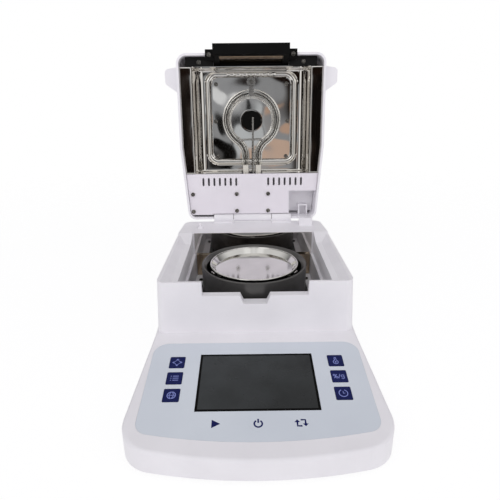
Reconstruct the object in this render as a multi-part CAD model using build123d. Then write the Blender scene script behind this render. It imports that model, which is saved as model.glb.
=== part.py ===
from build123d import *
import os
from math import cos, degrees, radians, sin, sqrt, tan

# Bench moisture analyser with an open heating lid.
# While it is built, the weighing pan's axis is x = 0, y = 0 and the table is z = 0.
# The front is towards -Y, the right hand side is +X and up is +Z. All sizes are in millimetres.
# The finished set of pieces is moved along Y so that the origin is under the middle of the whole.

# Base: one moulding with a sloped console, closed from below by a tray
BASE_FRONT_Y = -217.2
BASE_REAR_Y = 131.0
BASE_HALF_FRONT = 111.6
BASE_HALF_WAIST = 101.6
BASE_HALF_REAR = 97.0
FRONT_BOW_R = 420.0
FRONT_CORNER_R = 30.0
REAR_CORNER_R = 14.0
BASE_GAP = 4.5
BASE_WALL = 2.8
BASE_TOP_Z = 47.0
BASE_EDGE_R = 3.0
CONSOLE_SLOPE = 9.4
TRAY_T = 3.0
TRAY_RIM_H = 9.0
TRAY_RIM_T = 2.0
SEAM_GAP = 0.3

# Chamber housing: box with notched front wall, side ledges and a raised rear deck
BOX_FRONT_Y = -75.9
BOX_HALF_FRONT = 96.9
BOX_HALF_WAIST = 96.0
BOX_HALF_REAR = 92.5
BOX_REAR_Y = 122.2
BOX_DRAFT = 3.2
BOX_TOP_Z = 103.25
DECK_TOP_Z = 105.0
DECK_FRONT_Y = 72.7
BOX_CORNER_R = 9.0
BOX_REAR_CORNER_R = 10.0
RIM_T = 2.7
LEDGE_Z = 98.0
LEDGE_OUT_X = 84.5
LEDGE_IN_X = 77.7
STEP_Z = 76.0
WELL_HALF = 74.5
WELL_FRONT_Y = -62.5
WELL_FRONT_Z = 74.0
GUSSET_LENGTH = 24.0
BOX_WALL = 2.8
NOTCH_HALF = 52.6
NOTCH_Z = 88.5
SMALL_NOTCH_TOP_HALF = 15.4
SMALL_NOTCH_HALF = 11.7
SMALL_NOTCH_Z = 79.3
FLOOR_T = 1.5

# Sheet pieces in the chamber
PLATE_T = 1.0
BACK_PLATE_HALF = 75.6
BACK_PLATE_LOW_Z = 74.0
LOWER_PLATE_HALF = 73.4
LOWER_PLATE_Y = 67.5
LOWER_PLATE_TOP_Z = 76.0
SEAT_HALF = 61.0
SEAT_TOP_Z = 63.0
SEAT_HOLE_R = 20.0
SEAT_LEG_R = 3.5
SEAT_LEG_INSET = 9.0

# Draft ring, pan support and sample pan
PAN_R = 50.0
PAN_RIM_Z = 93.5
PAN_HEIGHT = 7.0
PAN_FLOOR_R = 44.3
PAN_T = 0.6
PAN_RIM_R = 0.9
RING_R = 59.15
RING_WALL = 2.4
RING_LIP = 1.6
ARM_WIDTH = 7.0
ARM_T = 1.4
ARM_TIP_GAP = 1.2
ARM_TIP_T = 1.3
ARM_TIP_H = 5.5
ARM_COUNT = 3
HUB_R = 11.0
STEM_R = 4.0
STEM_FIT = 0.06
STEM_DEPTH = 9.0
RECEIVER_R = 7.0
RECEIVER_TOP_Z = 58.0
POST_HOLE_R = 12.0

# Weighing cell
CELL_LENGTH = 98.0
CELL_WIDTH = 30.0
CELL_HEIGHT = 22.0
CELL_BOTTOM_Z = 18.0
CELL_FREE_END = 14.0
CELL_HOLE_R = 6.5
CELL_HOLE_PITCH = 22.0
CELL_SLOT_H = 4.0
CELL_MOUNT_LENGTH = 30.0

# Console: keypad film, display and keys, placed down the slope from the foot of the box
FILM_T = 0.6
FILM_HALF_TOP = 98.5
FILM_HALF_LOW = 98.5
FILM_TOP = 15.5
FILM_SIDE_LOW = 117.0
FILM_LOW = 127.0
FILM_TOP_R = 14.0
FILM_LOW_R = 12.0
DISPLAY_WIDTH = 104.5
DISPLAY_HEIGHT = 66.0
DISPLAY_TOP = 31.6
GLASS_T = 1.2
GLASS_GAP = 0.3
MODULE_BORDER = 4.0
MODULE_T = 5.0
KEY_WIDTH = 14.0
KEY_HEIGHT = 14.3
KEY_X = 73.8
KEY_TOP = 41.4
KEY_PITCH = 19.5
KEY_ROWS = 3
ROUND_KEY_R = 7.5
ROUND_KEY_X = 34.6
ROUND_KEY_DOWN = 110.0
KEY_T = 1.1
KEY_PROUD = 0.15
KEY_TRAVEL = 0.4
KEY_GAP = 0.25
KEY_CORNER_R = 1.0
BOARD_T = 1.6
BOARD_WIDTH = 150.0
BOARD_LENGTH = 78.0
BOARD_DOWN = 66.0
BOARD_DEPTH = 17.0
BOARD_POST_R = 3.0

# Feet
FOOT_R = 13.0
FOOT_H = 4.0
STUD_R = 4.0
STUD_H = 13.0
STUD_FIT = 0.08
FOOT_BOSS_R = 8.0
FOOT_BOSS_H = 9.0
FOOT_FRONT_X = 82.0
FOOT_FRONT_Y = -160.0
FOOT_REAR_X = 78.0
FOOT_REAR_Y = 108.0

# Rear sockets, from the left as seen from the front
INLET_X = -58.0
INLET_Z = 27.0
INLET_WIDTH = 27.0
INLET_HEIGHT = 19.5
INLET_DEPTH = 22.0
INLET_FLANGE = 2.6
INLET_FLANGE_T = 1.6
SOCKET_WIDTH = 24.0
SOCKET_HEIGHT = 16.4
SOCKET_DEPTH = 17.0
SWITCH_X = -18.0
SWITCH_WIDTH = 19.0
SWITCH_HEIGHT = 13.0
SWITCH_DEPTH = 14.0
SWITCH_FLANGE = 1.6
SWITCH_FLANGE_T = 1.4
ROCKER_TILT = 8.0
ROCKER_PIVOT = 3.5
ROCKER_PIN_R = 1.5
SWITCH_WALL = 1.2
PORT_X = 40.0
PORT_WIDTH = 31.0
PORT_HEIGHT = 12.5
PORT_SHELL_WIDTH = 17.0
PORT_SHELL_HEIGHT = 8.4
PORT_SHELL_OUT = 5.6
PORT_T = 1.2

# Hinge between the deck and the lid
HINGE_Y = 124.4
HINGE_Z = 109.5
LID_LEAN = 5.4
KNUCKLE_R = 5.0
KNUCKLE_IN_X = 26.6
KNUCKLE_OUT_X = 53.0
LID_KNUCKLE_HALF = 25.8
PIN_R = 2.5
PIN_FIT = 0.05
KNUCKLE_CLEAR = 0.8

# Lid shell, measured from the hinge axis along the lid (up when open) and inwards
LID_LENGTH = 211.6
LID_HEEL = 1.2
LID_HALF = 95.4
LID_HALF_HEEL = 87.4
LID_TAPER_AT = 96.0
LID_DEPTH = 50.0
LID_STRAIGHT = 24.0
LID_DRAFT = 15.0
LID_RIM_IN = 4.0
LID_WALL = 2.8
LID_CORNER_R = 13.0
LID_HEEL_R = 11.0
LID_BACK_R = 7.0
EAR_REACH = 16.0
EAR_LOW = 164.0
EAR_LOW_OUT = 176.0
EAR_TOP = 196.5
EAR_TOP_OUT = 193.5
EAR_DEPTH = 16.0
EAR_SET_BACK = 4.0
EAR_CORNER_R = 5.0
VENT_COUNT = 9
VENT_PITCH = 9.0
VENT_LENGTH = 64.0
VENT_WIDTH = 3.6
VENT_AT = 118.0

# Lid inner panel with vent slots and a corner cut-out for the cable guide
PANEL_T = 2.2
PANEL_TOP = 60.2
PANEL_LOW = 4.4
PANEL_EDGE_GAP = 0.4
SLOT_COUNT = 7
SLOT_PITCH = 7.45
SLOT_IN_X = 21.8
SLOT_WIDTH = 2.7
SLOT_LENGTH = 10.8
SLOT_AT = 49.6
CUTOUT_X = 49.6
CUTOUT_TOP = 37.0

# Reflector: a drawn tray with a raised bead round its floor
REFLECTOR_LOW = 61.0
REFLECTOR_TOP = 195.8
REFLECTOR_HALF_LOW = 87.6
REFLECTOR_HALF_TOP = 89.2
REFLECTOR_SIDE_SLOPE = 8.5
REFLECTOR_DEPTH = 24.0
REFLECTOR_MOUTH = 3.0
REFLECTOR_T = 0.8
BEAD_HALF = 58.7
BEAD_LOW = 73.6
BEAD_TOP = 193.0
BEAD_R = 12.0
BEAD_WIDTH = 4.0
BEAD_HEIGHT = 5.0
HOLE_AT = 130.0
HOLE_R = 13.2

# Lamp, probe and their fixings
LAMP_AT = 131.0
LAMP_R = 33.6
LAMP_TUBE_R = 5.4
LAMP_IN = -14.0
LEG_X = 8.6
LEG_ARC_SPREAD = 55.0
LEG_LOW = 71.5
CERAMIC_WIDTH = 7.0
CERAMIC_LOW = 52.0
CERAMIC_T = 9.0
CLIP_AT = 105.0
CLIP_R = 1.0
CLIP_HALF = 18.0
CLIP_DROP_X = 11.0
PROBE_X = 1.6
PROBE_R = 1.2
PROBE_TOP = 134.0
PROBE_LOW = 50.0
PROBE_IN = -4.6
BRACKET_WIDTH = 14.0
BRACKET_TOP = 185.0
BRACKET_T = 1.2
CUTOUT_DISC_R = 17.0
CUTOUT_DISC_T = 5.0

# Window and handle at the free end of the lid
FRAME_HALF = 48.3
FRAME_LOW = 196.6
FRAME_TOP = 221.4
FRAME_IN = 11.5
FRAME_BACK = -9.0
FRAME_T = 9.0
LIP_T = 7.0
WING_HALF = 58.0
WING_LOW = 203.0
WING_TOP = 215.4
WING_T = 2.6
WINDOW_HALF = 40.6
WINDOW_HEIGHT = 15.0
WINDOW_T = 2.0
WINDOW_INSET = 1.6
END_PLATE_HALF = 84.5
END_PLATE_LOW = 196.4
END_PLATE_TOP = 208.0
END_PLATE_IN = -3.4
END_PLATE_T = 1.2

# Small pieces
SCREW_HEAD_R = 2.7
SCREW_HEAD_T = 1.6
SCREW_SHANK_R = 1.4
SCREW_SHANK_L = 4.5
SCREW_RECESS_R = 1.1
SCREW_RECESS = 0.8
PLUNGER_X = -69.8
PLUNGER_Y = 93.4
PLUNGER_R = 1.65
PLUNGER_TOP_Z = 111.6
PLUNGER_GUIDE_R = 3.9
PLUNGER_GUIDE_H = 2.2
PLUNGER_FIT = 0.08
PLUNGER_REST = 0.3
GUIDE_X = 70.9
GUIDE_WIDTH = 17.2
GUIDE_THICK = 7.0
GUIDE_FRONT_Y = 98.8
GUIDE_HEIGHT = 10.7
GUIDE_SLOT = 3.0
HOOD_WIDTH = 13.0
HOOD_TOP = 16.0
HOOD_DEPTH = 12.0
HOOD_WALL = 2.0

# Poses: opening angle of the lid, measured from closed
LID_OPEN = 90.0 + LID_LEAN
CONSOLE = Plane(
    origin=(0, BOX_FRONT_Y, BASE_TOP_Z),
    x_dir=(1, 0, 0),
    z_dir=(0, -sin(radians(CONSOLE_SLOPE)), cos(radians(CONSOLE_SLOPE))),
)
LID = Plane(
    origin=(0, HINGE_Y, HINGE_Z),
    x_dir=(1, 0, 0),
    z_dir=(0, -cos(radians(LID_LEAN)), sin(radians(LID_LEAN))),
)


def slab(x0, x1, y0, y1, z0, z1):
    """A block between two corners."""
    block = Box(x1 - x0, y1 - y0, z1 - z0)
    return Pos((x0 + x1) / 2, (y0 + y1) / 2, (z0 + z1) / 2) * block


def rod(radius, x, y, z0, z1):
    """An upright cylinder."""
    return Pos(x, y, (z0 + z1) / 2) * Cylinder(radius, z1 - z0)


def cross_rod(radius, x0, x1, y, z):
    """A cylinder along X."""
    return Pos((x0 + x1) / 2, y, z) * Rot(0, 90, 0) * Cylinder(radius, x1 - x0)


def plan(points):
    """A face in the XY plane from its corner points."""
    return make_face(Polyline(*points, close=True))


def across(points, x0, x1):
    """A solid with a side-view outline of (y, z) points, carried along X."""
    outline = make_face(Polyline(*[(0, y, z) for y, z in points], close=True))
    return Pos(x0, 0, 0) * extrude(outline, amount=x1 - x0, dir=(1, 0, 0))


def along(points, y0, y1):
    """A solid with a front-view outline of (x, z) points, carried along Y."""
    outline = make_face(Polyline(*[(x, 0, z) for x, z in points], close=True))
    return Pos(0, y0, 0) * extrude(outline, amount=y1 - y0, dir=(0, 1, 0))


def rounded(sketch, corner_x, corner_y, radius):
    """The sketch with its corner nearest to a point, and that corner's mirror image, rounded."""
    picked = [
        min(sketch.vertices(), key=lambda v: (v.X - side * corner_x) ** 2 + (v.Y - corner_y) ** 2)
        for side in (-1, 1)
    ]
    return fillet(picked, radius)


def screw(x, y, z):
    """A pan head screw with its head's seat at z and its shank pointing down."""
    head = Pos(x, y, z + SCREW_HEAD_T / 2) * Cylinder(SCREW_HEAD_R, SCREW_HEAD_T)
    head -= rod(SCREW_RECESS_R, x, y, z + SCREW_HEAD_T - SCREW_RECESS, z + SCREW_HEAD_T + 1)
    return head


def group(pieces):
    """Several separate solids kept in one node."""
    return Part() + list(pieces)


# Base


def base_outline():
    """The base seen from above: tapered sides, a bowed front edge and rounded corners."""
    sag = FRONT_BOW_R - sqrt(FRONT_BOW_R ** 2 - BASE_HALF_FRONT ** 2)
    left_front = (-BASE_HALF_FRONT, BASE_FRONT_Y + sag)
    right_front = (BASE_HALF_FRONT, BASE_FRONT_Y + sag)
    sides = Polyline(
        left_front,
        (-BASE_HALF_WAIST, BOX_FRONT_Y),
        (-BASE_HALF_REAR, BASE_REAR_Y),
        (BASE_HALF_REAR, BASE_REAR_Y),
        (BASE_HALF_WAIST, BOX_FRONT_Y),
        right_front,
    )
    bow = ThreePointArc(left_front, (0, BASE_FRONT_Y), right_front)
    outline = make_face(sides + bow)
    outline = rounded(outline, BASE_HALF_FRONT, BASE_FRONT_Y + sag, FRONT_CORNER_R)
    return rounded(outline, BASE_HALF_REAR, BASE_REAR_Y, REAR_CORNER_R)


def above_console(lower):
    """All the space above the console, moved down by the given depth."""
    reach = 200.0
    drop = lower / cos(radians(CONSOLE_SLOPE))
    low_z = BASE_TOP_Z - drop - reach * tan(radians(CONSOLE_SLOPE))
    return across(
        [
            (BOX_FRONT_Y, BASE_TOP_Z - drop),
            (BOX_FRONT_Y - reach, low_z),
            (BOX_FRONT_Y - reach, BASE_TOP_Z + reach),
            (BOX_FRONT_Y, BASE_TOP_Z + reach),
        ],
        -reach,
        reach,
    )


def key_places():
    """The names and console places of the nine keys."""
    names = ["key_zero", "key_menu", "key_print", "key_heat", "key_unit", "key_time"]
    places = []
    for number, name in enumerate(names):
        side = -1 if number < KEY_ROWS else 1
        down = KEY_TOP + (number % KEY_ROWS) * KEY_PITCH
        places.append((name, side * KEY_X, -down, "square"))
    for name, step in (("key_start", -1), ("key_power", 0), ("key_tare", 1)):
        places.append((name, step * ROUND_KEY_X, -ROUND_KEY_DOWN, "round"))
    return places


def key_outline(form, grow):
    """The outline of a key, grown by a gap all round."""
    if form == "round":
        return Circle(ROUND_KEY_R + grow)
    return RectangleRounded(KEY_WIDTH + 2 * grow, KEY_HEIGHT + 2 * grow, KEY_CORNER_R + grow)


def film_outline(grow):
    """The keypad film: rounded corners and a lower edge bowed like the front of the base."""
    left = (-FILM_HALF_LOW, -FILM_SIDE_LOW)
    right = (FILM_HALF_LOW, -FILM_SIDE_LOW)
    sides = Polyline(left, (-FILM_HALF_TOP, -FILM_TOP), (FILM_HALF_TOP, -FILM_TOP), right)
    face = make_face(sides + ThreePointArc(left, (0, -FILM_LOW), right))
    face = rounded(face, FILM_HALF_TOP, -FILM_TOP, FILM_TOP_R)
    face = rounded(face, FILM_HALF_LOW, -FILM_SIDE_LOW, FILM_LOW_R)
    return offset(face, amount=grow) if grow else face


def display_block(half_grow, z0, z1):
    """A block at the display's place on the console, grown by a margin."""
    low = -(DISPLAY_TOP + DISPLAY_HEIGHT)
    half = DISPLAY_WIDTH / 2 + half_grow
    return slab(-half, half, low - half_grow, -DISPLAY_TOP + half_grow, z0, z1)


def board_posts(z0, z1, radius):
    """Four posts at the corners of the main board."""
    half_x = BOARD_WIDTH / 2 - 2 * BOARD_POST_R
    half_y = BOARD_LENGTH / 2 - 2 * BOARD_POST_R
    posts = []
    for x in (-half_x, half_x):
        for y in (-half_y, half_y):
            posts.append(rod(radius, x, y - BOARD_DOWN, z0, z1))
    return posts


def base_housing():
    """The base moulding: hollow, open below, with a recess for the film and three rear openings."""
    outline = base_outline()
    outer = Pos(0, 0, BASE_GAP) * extrude(outline, amount=BASE_TOP_Z - BASE_GAP)
    outer -= above_console(0)
    slopes = [f for f in outer.faces() if f.normal_at().Z > 0.9 and f.center().Y < BOX_FRONT_Y]
    rim = [e for e in slopes[0].edges() if abs(e.center().Y - BOX_FRONT_Y) > 0.1]
    outer = fillet(rim, BASE_EDGE_R)
    inner = extrude(offset(outline, amount=-BASE_WALL), amount=BASE_TOP_Z - BASE_WALL)
    inner -= above_console(BASE_WALL)
    shell = outer - inner
    recess = Pos(0, 0, -FILM_T) * extrude(film_outline(SEAM_GAP / 3), amount=3)
    wells = []
    for _, x, y, form in key_places():
        well = extrude(key_outline(form, KEY_GAP), amount=4)
        wells.append(Pos(x, y, KEY_PROUD - KEY_T - KEY_TRAVEL - KEY_GAP) * well)
    shell -= CONSOLE * recess
    shell -= [CONSOLE * w for w in wells]
    shell -= CONSOLE * display_block(GLASS_GAP, -2 * BASE_WALL, 4)
    shell += [CONSOLE * p for p in board_posts(-BOARD_DEPTH, -BASE_WALL + 0.5, BOARD_POST_R)]
    shell -= rod(POST_HOLE_R, 0, 0, BASE_TOP_Z - 3 * BASE_WALL, BASE_TOP_Z + 1)
    rear0 = BASE_REAR_Y - 2 * BASE_WALL
    rear1 = BASE_REAR_Y + 2
    for x, width, height in (
        (INLET_X, INLET_WIDTH, INLET_HEIGHT),
        (SWITCH_X, SWITCH_WIDTH, SWITCH_HEIGHT),
        (PORT_X, PORT_SHELL_WIDTH, PORT_SHELL_HEIGHT),
    ):
        half_x = width / 2 + SEAM_GAP
        half_z = height / 2 + SEAM_GAP
        shell -= slab(x - half_x, x + half_x, rear0, rear1, INLET_Z - half_z, INLET_Z + half_z)
    return shell


def foot_places():
    """The four feet by name."""
    return [
        ("foot_front_left", -FOOT_FRONT_X, FOOT_FRONT_Y),
        ("foot_front_right", FOOT_FRONT_X, FOOT_FRONT_Y),
        ("foot_rear_left", -FOOT_REAR_X, FOOT_REAR_Y),
        ("foot_rear_right", FOOT_REAR_X, FOOT_REAR_Y),
    ]


def bottom_tray():
    """The tray that closes the base: a plate with an upright rim and four tapped foot bosses."""
    inset = BASE_WALL + SEAM_GAP
    plate = extrude(offset(base_outline(), amount=-inset), amount=TRAY_T)
    rim = extrude(offset(base_outline(), amount=-inset), amount=TRAY_RIM_H)
    rim -= extrude(offset(base_outline(), amount=-inset - TRAY_RIM_T), amount=TRAY_RIM_H + 1)
    tray = Pos(0, 0, BASE_GAP) * (plate + rim)
    for _, x, y in foot_places():
        tray += rod(FOOT_BOSS_R, x, y, BASE_GAP + TRAY_T / 2, BASE_GAP + FOOT_BOSS_H)
        tray -= rod(STUD_R + STUD_FIT, x, y, 0, BASE_GAP + FOOT_BOSS_H + 1)
    low = BASE_GAP + TRAY_T / 2
    mount_x0 = CELL_FREE_END - CELL_LENGTH
    pad = slab(mount_x0, mount_x0 + CELL_MOUNT_LENGTH, -CELL_WIDTH / 2, CELL_WIDTH / 2, low, low + 4)
    return tray + pad


def foot(x, y):
    """A levelling foot: a knurled knob that stands on the table and a stud in the tray's boss."""
    knob = rod(FOOT_R, x, y, 0, FOOT_H)
    knob = chamfer(knob.edges().filter_by(GeomType.CIRCLE), 0.6)
    grip = [
        Pos(x, y, FOOT_H / 2) * Rot(0, 0, turn) * Pos(FOOT_R, 0, 0) * Cylinder(0.9, FOOT_H + 1)
        for turn in range(0, 360, 30)
    ]
    return knob - grip + rod(STUD_R, x, y, FOOT_H / 2, FOOT_H + STUD_H)


# Chamber housing


def box_outline(spread):
    """The chamber housing seen from above, spread out by the draft at its foot."""
    front = BOX_HALF_FRONT + spread
    waist = BOX_HALF_WAIST + spread
    rear = BOX_HALF_REAR + spread
    rear_y = BOX_REAR_Y + spread / 2
    face = plan(
        [
            (-front, BOX_FRONT_Y),
            (front, BOX_FRONT_Y),
            (waist, DECK_FRONT_Y),
            (rear, rear_y),
            (-rear, rear_y),
            (-waist, DECK_FRONT_Y),
        ]
    )
    face = rounded(face, front, BOX_FRONT_Y, BOX_CORNER_R)
    return rounded(face, rear, rear_y, BOX_REAR_CORNER_R)


def well_space():
    """The open chamber: side ledges seen from the front, and a sloped inner front wall."""
    rim_x = BOX_HALF_WAIST - RIM_T
    half = [
        (rim_x, DECK_TOP_Z + 20),
        (rim_x, BOX_TOP_Z),
        (LEDGE_OUT_X, LEDGE_Z),
        (LEDGE_IN_X, LEDGE_Z),
        (LEDGE_IN_X, STEP_Z),
        (WELL_HALF, STEP_Z),
        (WELL_HALF, BASE_TOP_Z - 1),
    ]
    mirror_half = [(-x, z) for x, z in reversed(half)]
    section = along(half + mirror_half, BOX_FRONT_Y - 5, DECK_FRONT_Y)
    side = across(
        [
            (BOX_FRONT_Y + RIM_T - 3, BOX_TOP_Z + 30),
            (BOX_FRONT_Y + RIM_T, BOX_TOP_Z),
            (WELL_FRONT_Y, WELL_FRONT_Z),
            (WELL_FRONT_Y, BASE_TOP_Z - 1),
            (DECK_FRONT_Y, BASE_TOP_Z - 1),
            (DECK_FRONT_Y, BOX_TOP_Z + 30),
        ],
        -BOX_HALF_FRONT,
        BOX_HALF_FRONT,
    )
    space = section & side
    gusset = [
        (DECK_FRONT_Y + 1, DECK_TOP_Z),
        (DECK_FRONT_Y, DECK_TOP_Z),
        (DECK_FRONT_Y - GUSSET_LENGTH, LEDGE_Z),
        (DECK_FRONT_Y - GUSSET_LENGTH, LEDGE_Z - 5),
        (DECK_FRONT_Y + 1, LEDGE_Z - 5),
    ]
    space -= across(gusset, LEDGE_IN_X, BOX_HALF_FRONT + 5)
    space -= across(gusset, -BOX_HALF_FRONT - 5, -LEDGE_IN_X)
    return space


def chamber_housing():
    """The chamber moulding, hollow in its side walls and under its deck."""
    foot_face = Pos(0, 0, BASE_TOP_Z) * box_outline(BOX_DRAFT)
    top_face = Pos(0, 0, DECK_TOP_Z) * box_outline(0)
    body = loft([foot_face.face(), top_face.face()])
    gusset_y = DECK_FRONT_Y - GUSSET_LENGTH * (DECK_TOP_Z - BOX_TOP_Z) / (DECK_TOP_Z - LEDGE_Z)
    reach = BOX_HALF_FRONT + 10
    body -= across(
        [
            (BOX_FRONT_Y - 5, BOX_TOP_Z),
            (gusset_y, BOX_TOP_Z),
            (DECK_FRONT_Y, DECK_TOP_Z),
            (DECK_FRONT_Y, DECK_TOP_Z + 9),
            (BOX_FRONT_Y - 5, DECK_TOP_Z + 9),
        ],
        -reach,
        reach,
    )
    body -= well_space()
    pocket_out = BOX_HALF_REAR - BOX_WALL
    for side in (-1, 1):
        x0, x1 = sorted((side * (LEDGE_IN_X + BOX_WALL), side * pocket_out))
        body -= slab(x0, x1, BOX_FRONT_Y + 12, DECK_FRONT_Y, BASE_TOP_Z - 1, LEDGE_Z - BOX_WALL)
    rear_wall = BOX_REAR_Y - BOX_WALL
    half = BOX_HALF_REAR - BOX_REAR_CORNER_R
    low = BASE_TOP_Z - 1
    body -= slab(-half, half, DECK_FRONT_Y + BOX_WALL, rear_wall, low, DECK_TOP_Z - BOX_WALL)
    body -= slab(-NOTCH_HALF, NOTCH_HALF, BOX_FRONT_Y - 5, WELL_FRONT_Y, NOTCH_Z, BOX_TOP_Z + 5)
    body -= along(
        [
            (-SMALL_NOTCH_TOP_HALF, NOTCH_Z + 1),
            (-SMALL_NOTCH_HALF, SMALL_NOTCH_Z),
            (SMALL_NOTCH_HALF, SMALL_NOTCH_Z),
            (SMALL_NOTCH_TOP_HALF, NOTCH_Z + 1),
        ],
        BOX_FRONT_Y - 5,
        WELL_FRONT_Y,
    )
    half_knuckle = LID_KNUCKLE_HALF + KNUCKLE_CLEAR
    body -= cross_rod(KNUCKLE_R + KNUCKLE_CLEAR, -half_knuckle, half_knuckle, HINGE_Y, HINGE_Z)
    body -= rod(PLUNGER_R + PLUNGER_FIT, PLUNGER_X, PLUNGER_Y, DECK_TOP_Z - 9, DECK_TOP_Z + 1)
    return body


def chamber_floor():
    """The white floor plate of the chamber, with the hole for the weighing post."""
    inset = SEAM_GAP
    y1 = LOWER_PLATE_Y - inset
    z1 = BASE_TOP_Z + FLOOR_T
    plate = slab(-WELL_HALF + inset, WELL_HALF - inset, WELL_FRONT_Y + inset, y1, BASE_TOP_Z, z1)
    return plate - rod(POST_HOLE_R, 0, 0, BASE_TOP_Z - 1, z1 + 1)


def back_plates():
    """The polished upper plate on the deck's front face and the lower plate in front of it."""
    upper = slab(
        -BACK_PLATE_HALF,
        BACK_PLATE_HALF,
        DECK_FRONT_Y - PLATE_T,
        DECK_FRONT_Y,
        STEP_Z,
        DECK_TOP_Z - 0.5,
    )
    lower = slab(
        -LOWER_PLATE_HALF,
        LOWER_PLATE_HALF,
        LOWER_PLATE_Y,
        LOWER_PLATE_Y + PLATE_T,
        BASE_TOP_Z,
        LOWER_PLATE_TOP_Z,
    )
    shelf_z = LOWER_PLATE_TOP_Z - PLATE_T
    lower += slab(
        -LOWER_PLATE_HALF,
        LOWER_PLATE_HALF,
        LOWER_PLATE_Y,
        DECK_FRONT_Y,
        shelf_z,
        LOWER_PLATE_TOP_Z,
    )
    return upper, lower


def ring_seat():
    """The black sheet that the draft ring stands on, carried by four legs on the floor."""
    top = slab(-SEAT_HALF, SEAT_HALF, -SEAT_HALF, SEAT_HALF, SEAT_TOP_Z - 1.5, SEAT_TOP_Z)
    top -= rod(SEAT_HOLE_R, 0, 0, SEAT_TOP_Z - 3, SEAT_TOP_Z + 1)
    place = SEAT_HALF - SEAT_LEG_INSET
    for x in (-place, place):
        for y in (-place, place):
            top += rod(SEAT_LEG_R, x, y, BASE_TOP_Z + FLOOR_T, SEAT_TOP_Z - 0.5)
    return top


def floor_screws():
    """Four screws that hold the floor plate."""
    x = SEAT_HALF + 6.0
    z = BASE_TOP_Z + FLOOR_T
    return group(screw(sx * x, y, z) for sx in (-1, 1) for y in (50.0, -48.0))


# Weighing side


def draft_ring():
    """The draft ring: a plain cylinder wall with a small inward lip at its top."""
    ring = revolve(
        make_face(
            Polyline(
                (RING_R, 0, SEAT_TOP_Z),
                (RING_R, 0, PAN_RIM_Z - 0.6),
                (RING_R - 0.6, 0, PAN_RIM_Z),
                (RING_R - RING_WALL - RING_LIP + 0.5, 0, PAN_RIM_Z),
                (RING_R - RING_WALL - RING_LIP, 0, PAN_RIM_Z - 0.8),
                (RING_R - RING_WALL, 0, PAN_RIM_Z - 2.6),
                (RING_R - RING_WALL, 0, SEAT_TOP_Z),
                close=True,
            )
        ),
        axis=Axis.Z,
    )
    return ring


def sample_pan():
    """The pressed pan: flat floor, flared wall and a rolled rim."""
    low = PAN_RIM_Z - PAN_HEIGHT
    wall = make_face(
        Polyline(
            (0, 0, low),
            (PAN_FLOOR_R, 0, low),
            (PAN_R - PAN_RIM_R, 0, PAN_RIM_Z - PAN_RIM_R),
            (PAN_R - PAN_RIM_R - PAN_T, 0, PAN_RIM_Z - PAN_RIM_R),
            (PAN_FLOOR_R - PAN_T, 0, low + PAN_T),
            (0, 0, low + PAN_T),
            close=True,
        )
    )
    pan = revolve(wall, axis=Axis.Z)
    rim = Pos(0, 0, PAN_RIM_Z - PAN_RIM_R) * Torus(PAN_R - PAN_RIM_R, PAN_RIM_R)
    return pan + rim


def pan_support():
    """The three-armed support with upturned tips and a stem that plugs into the receiver."""
    low = PAN_RIM_Z - PAN_HEIGHT
    tip_r = PAN_R + ARM_TIP_GAP
    hub = rod(HUB_R, 0, 0, low - ARM_T - 1.5, low)
    for number in range(ARM_COUNT):
        turn = Rot(0, 0, 90 + number * 360 / ARM_COUNT)
        arm = slab(0, tip_r + ARM_TIP_T, -ARM_WIDTH / 2, ARM_WIDTH / 2, low - ARM_T, low)
        tip = slab(
            tip_r, tip_r + ARM_TIP_T, -ARM_WIDTH / 2, ARM_WIDTH / 2, low - ARM_T, low + ARM_TIP_H
        )
        hub += turn * (arm + tip)
    return hub + rod(STEM_R, 0, 0, RECEIVER_TOP_Z - STEM_DEPTH + 0.5, low - ARM_T)


def load_receiver():
    """The post on the weighing cell's free end, with a socket for the support's stem."""
    post = rod(RECEIVER_R, 0, 0, CELL_BOTTOM_Z + CELL_HEIGHT, RECEIVER_TOP_Z)
    return post - rod(STEM_R + STEM_FIT, 0, 0, RECEIVER_TOP_Z - STEM_DEPTH, RECEIVER_TOP_Z + 1)


def load_cell():
    """The weighing cell: an aluminium beam thinned by two bores joined with a slot."""
    x1 = CELL_FREE_END
    x0 = x1 - CELL_LENGTH
    z1 = CELL_BOTTOM_Z + CELL_HEIGHT
    beam = slab(x0, x1, -CELL_WIDTH / 2, CELL_WIDTH / 2, CELL_BOTTOM_Z, z1)
    middle = (x0 + x1) / 2
    z = CELL_BOTTOM_Z + CELL_HEIGHT / 2
    for side in (-1, 1):
        bore = Rot(90, 0, 0) * Cylinder(CELL_HOLE_R, CELL_WIDTH + 2)
        beam -= Pos(middle + side * CELL_HOLE_PITCH / 2, 0, z) * bore
    half = CELL_HOLE_PITCH / 2
    slot_y = CELL_WIDTH
    beam -= slab(middle - half, middle + half, -slot_y, slot_y, z - CELL_SLOT_H / 2, z + CELL_SLOT_H / 2)
    return beam


def load_cell_mount():
    """The spacer between the tray's pad and the cell's fixed end."""
    x0 = CELL_FREE_END - CELL_LENGTH
    low = BASE_GAP + TRAY_T / 2 + 4
    return slab(
        x0, x0 + CELL_MOUNT_LENGTH, -CELL_WIDTH / 2, CELL_WIDTH / 2, low, CELL_BOTTOM_Z
    )


# Console pieces


def keypad_film():
    """The printed keypad film with openings for the display and the keys."""
    film = Pos(0, 0, -FILM_T) * extrude(film_outline(0), amount=FILM_T)
    film -= display_block(GLASS_GAP, -3, 3)
    for _, x, y, form in key_places():
        film -= Pos(x, y, -2) * extrude(key_outline(form, KEY_GAP), amount=4)
    return CONSOLE * film


def key(x, y, form):
    """One key cap with softened edges."""
    cap = Pos(x, y, KEY_PROUD - KEY_T) * extrude(key_outline(form, 0), amount=KEY_T)
    return CONSOLE * cap


def display_glass():
    """The display's cover glass, flush with the film."""
    return CONSOLE * display_block(0, -GLASS_T, 0)


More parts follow.
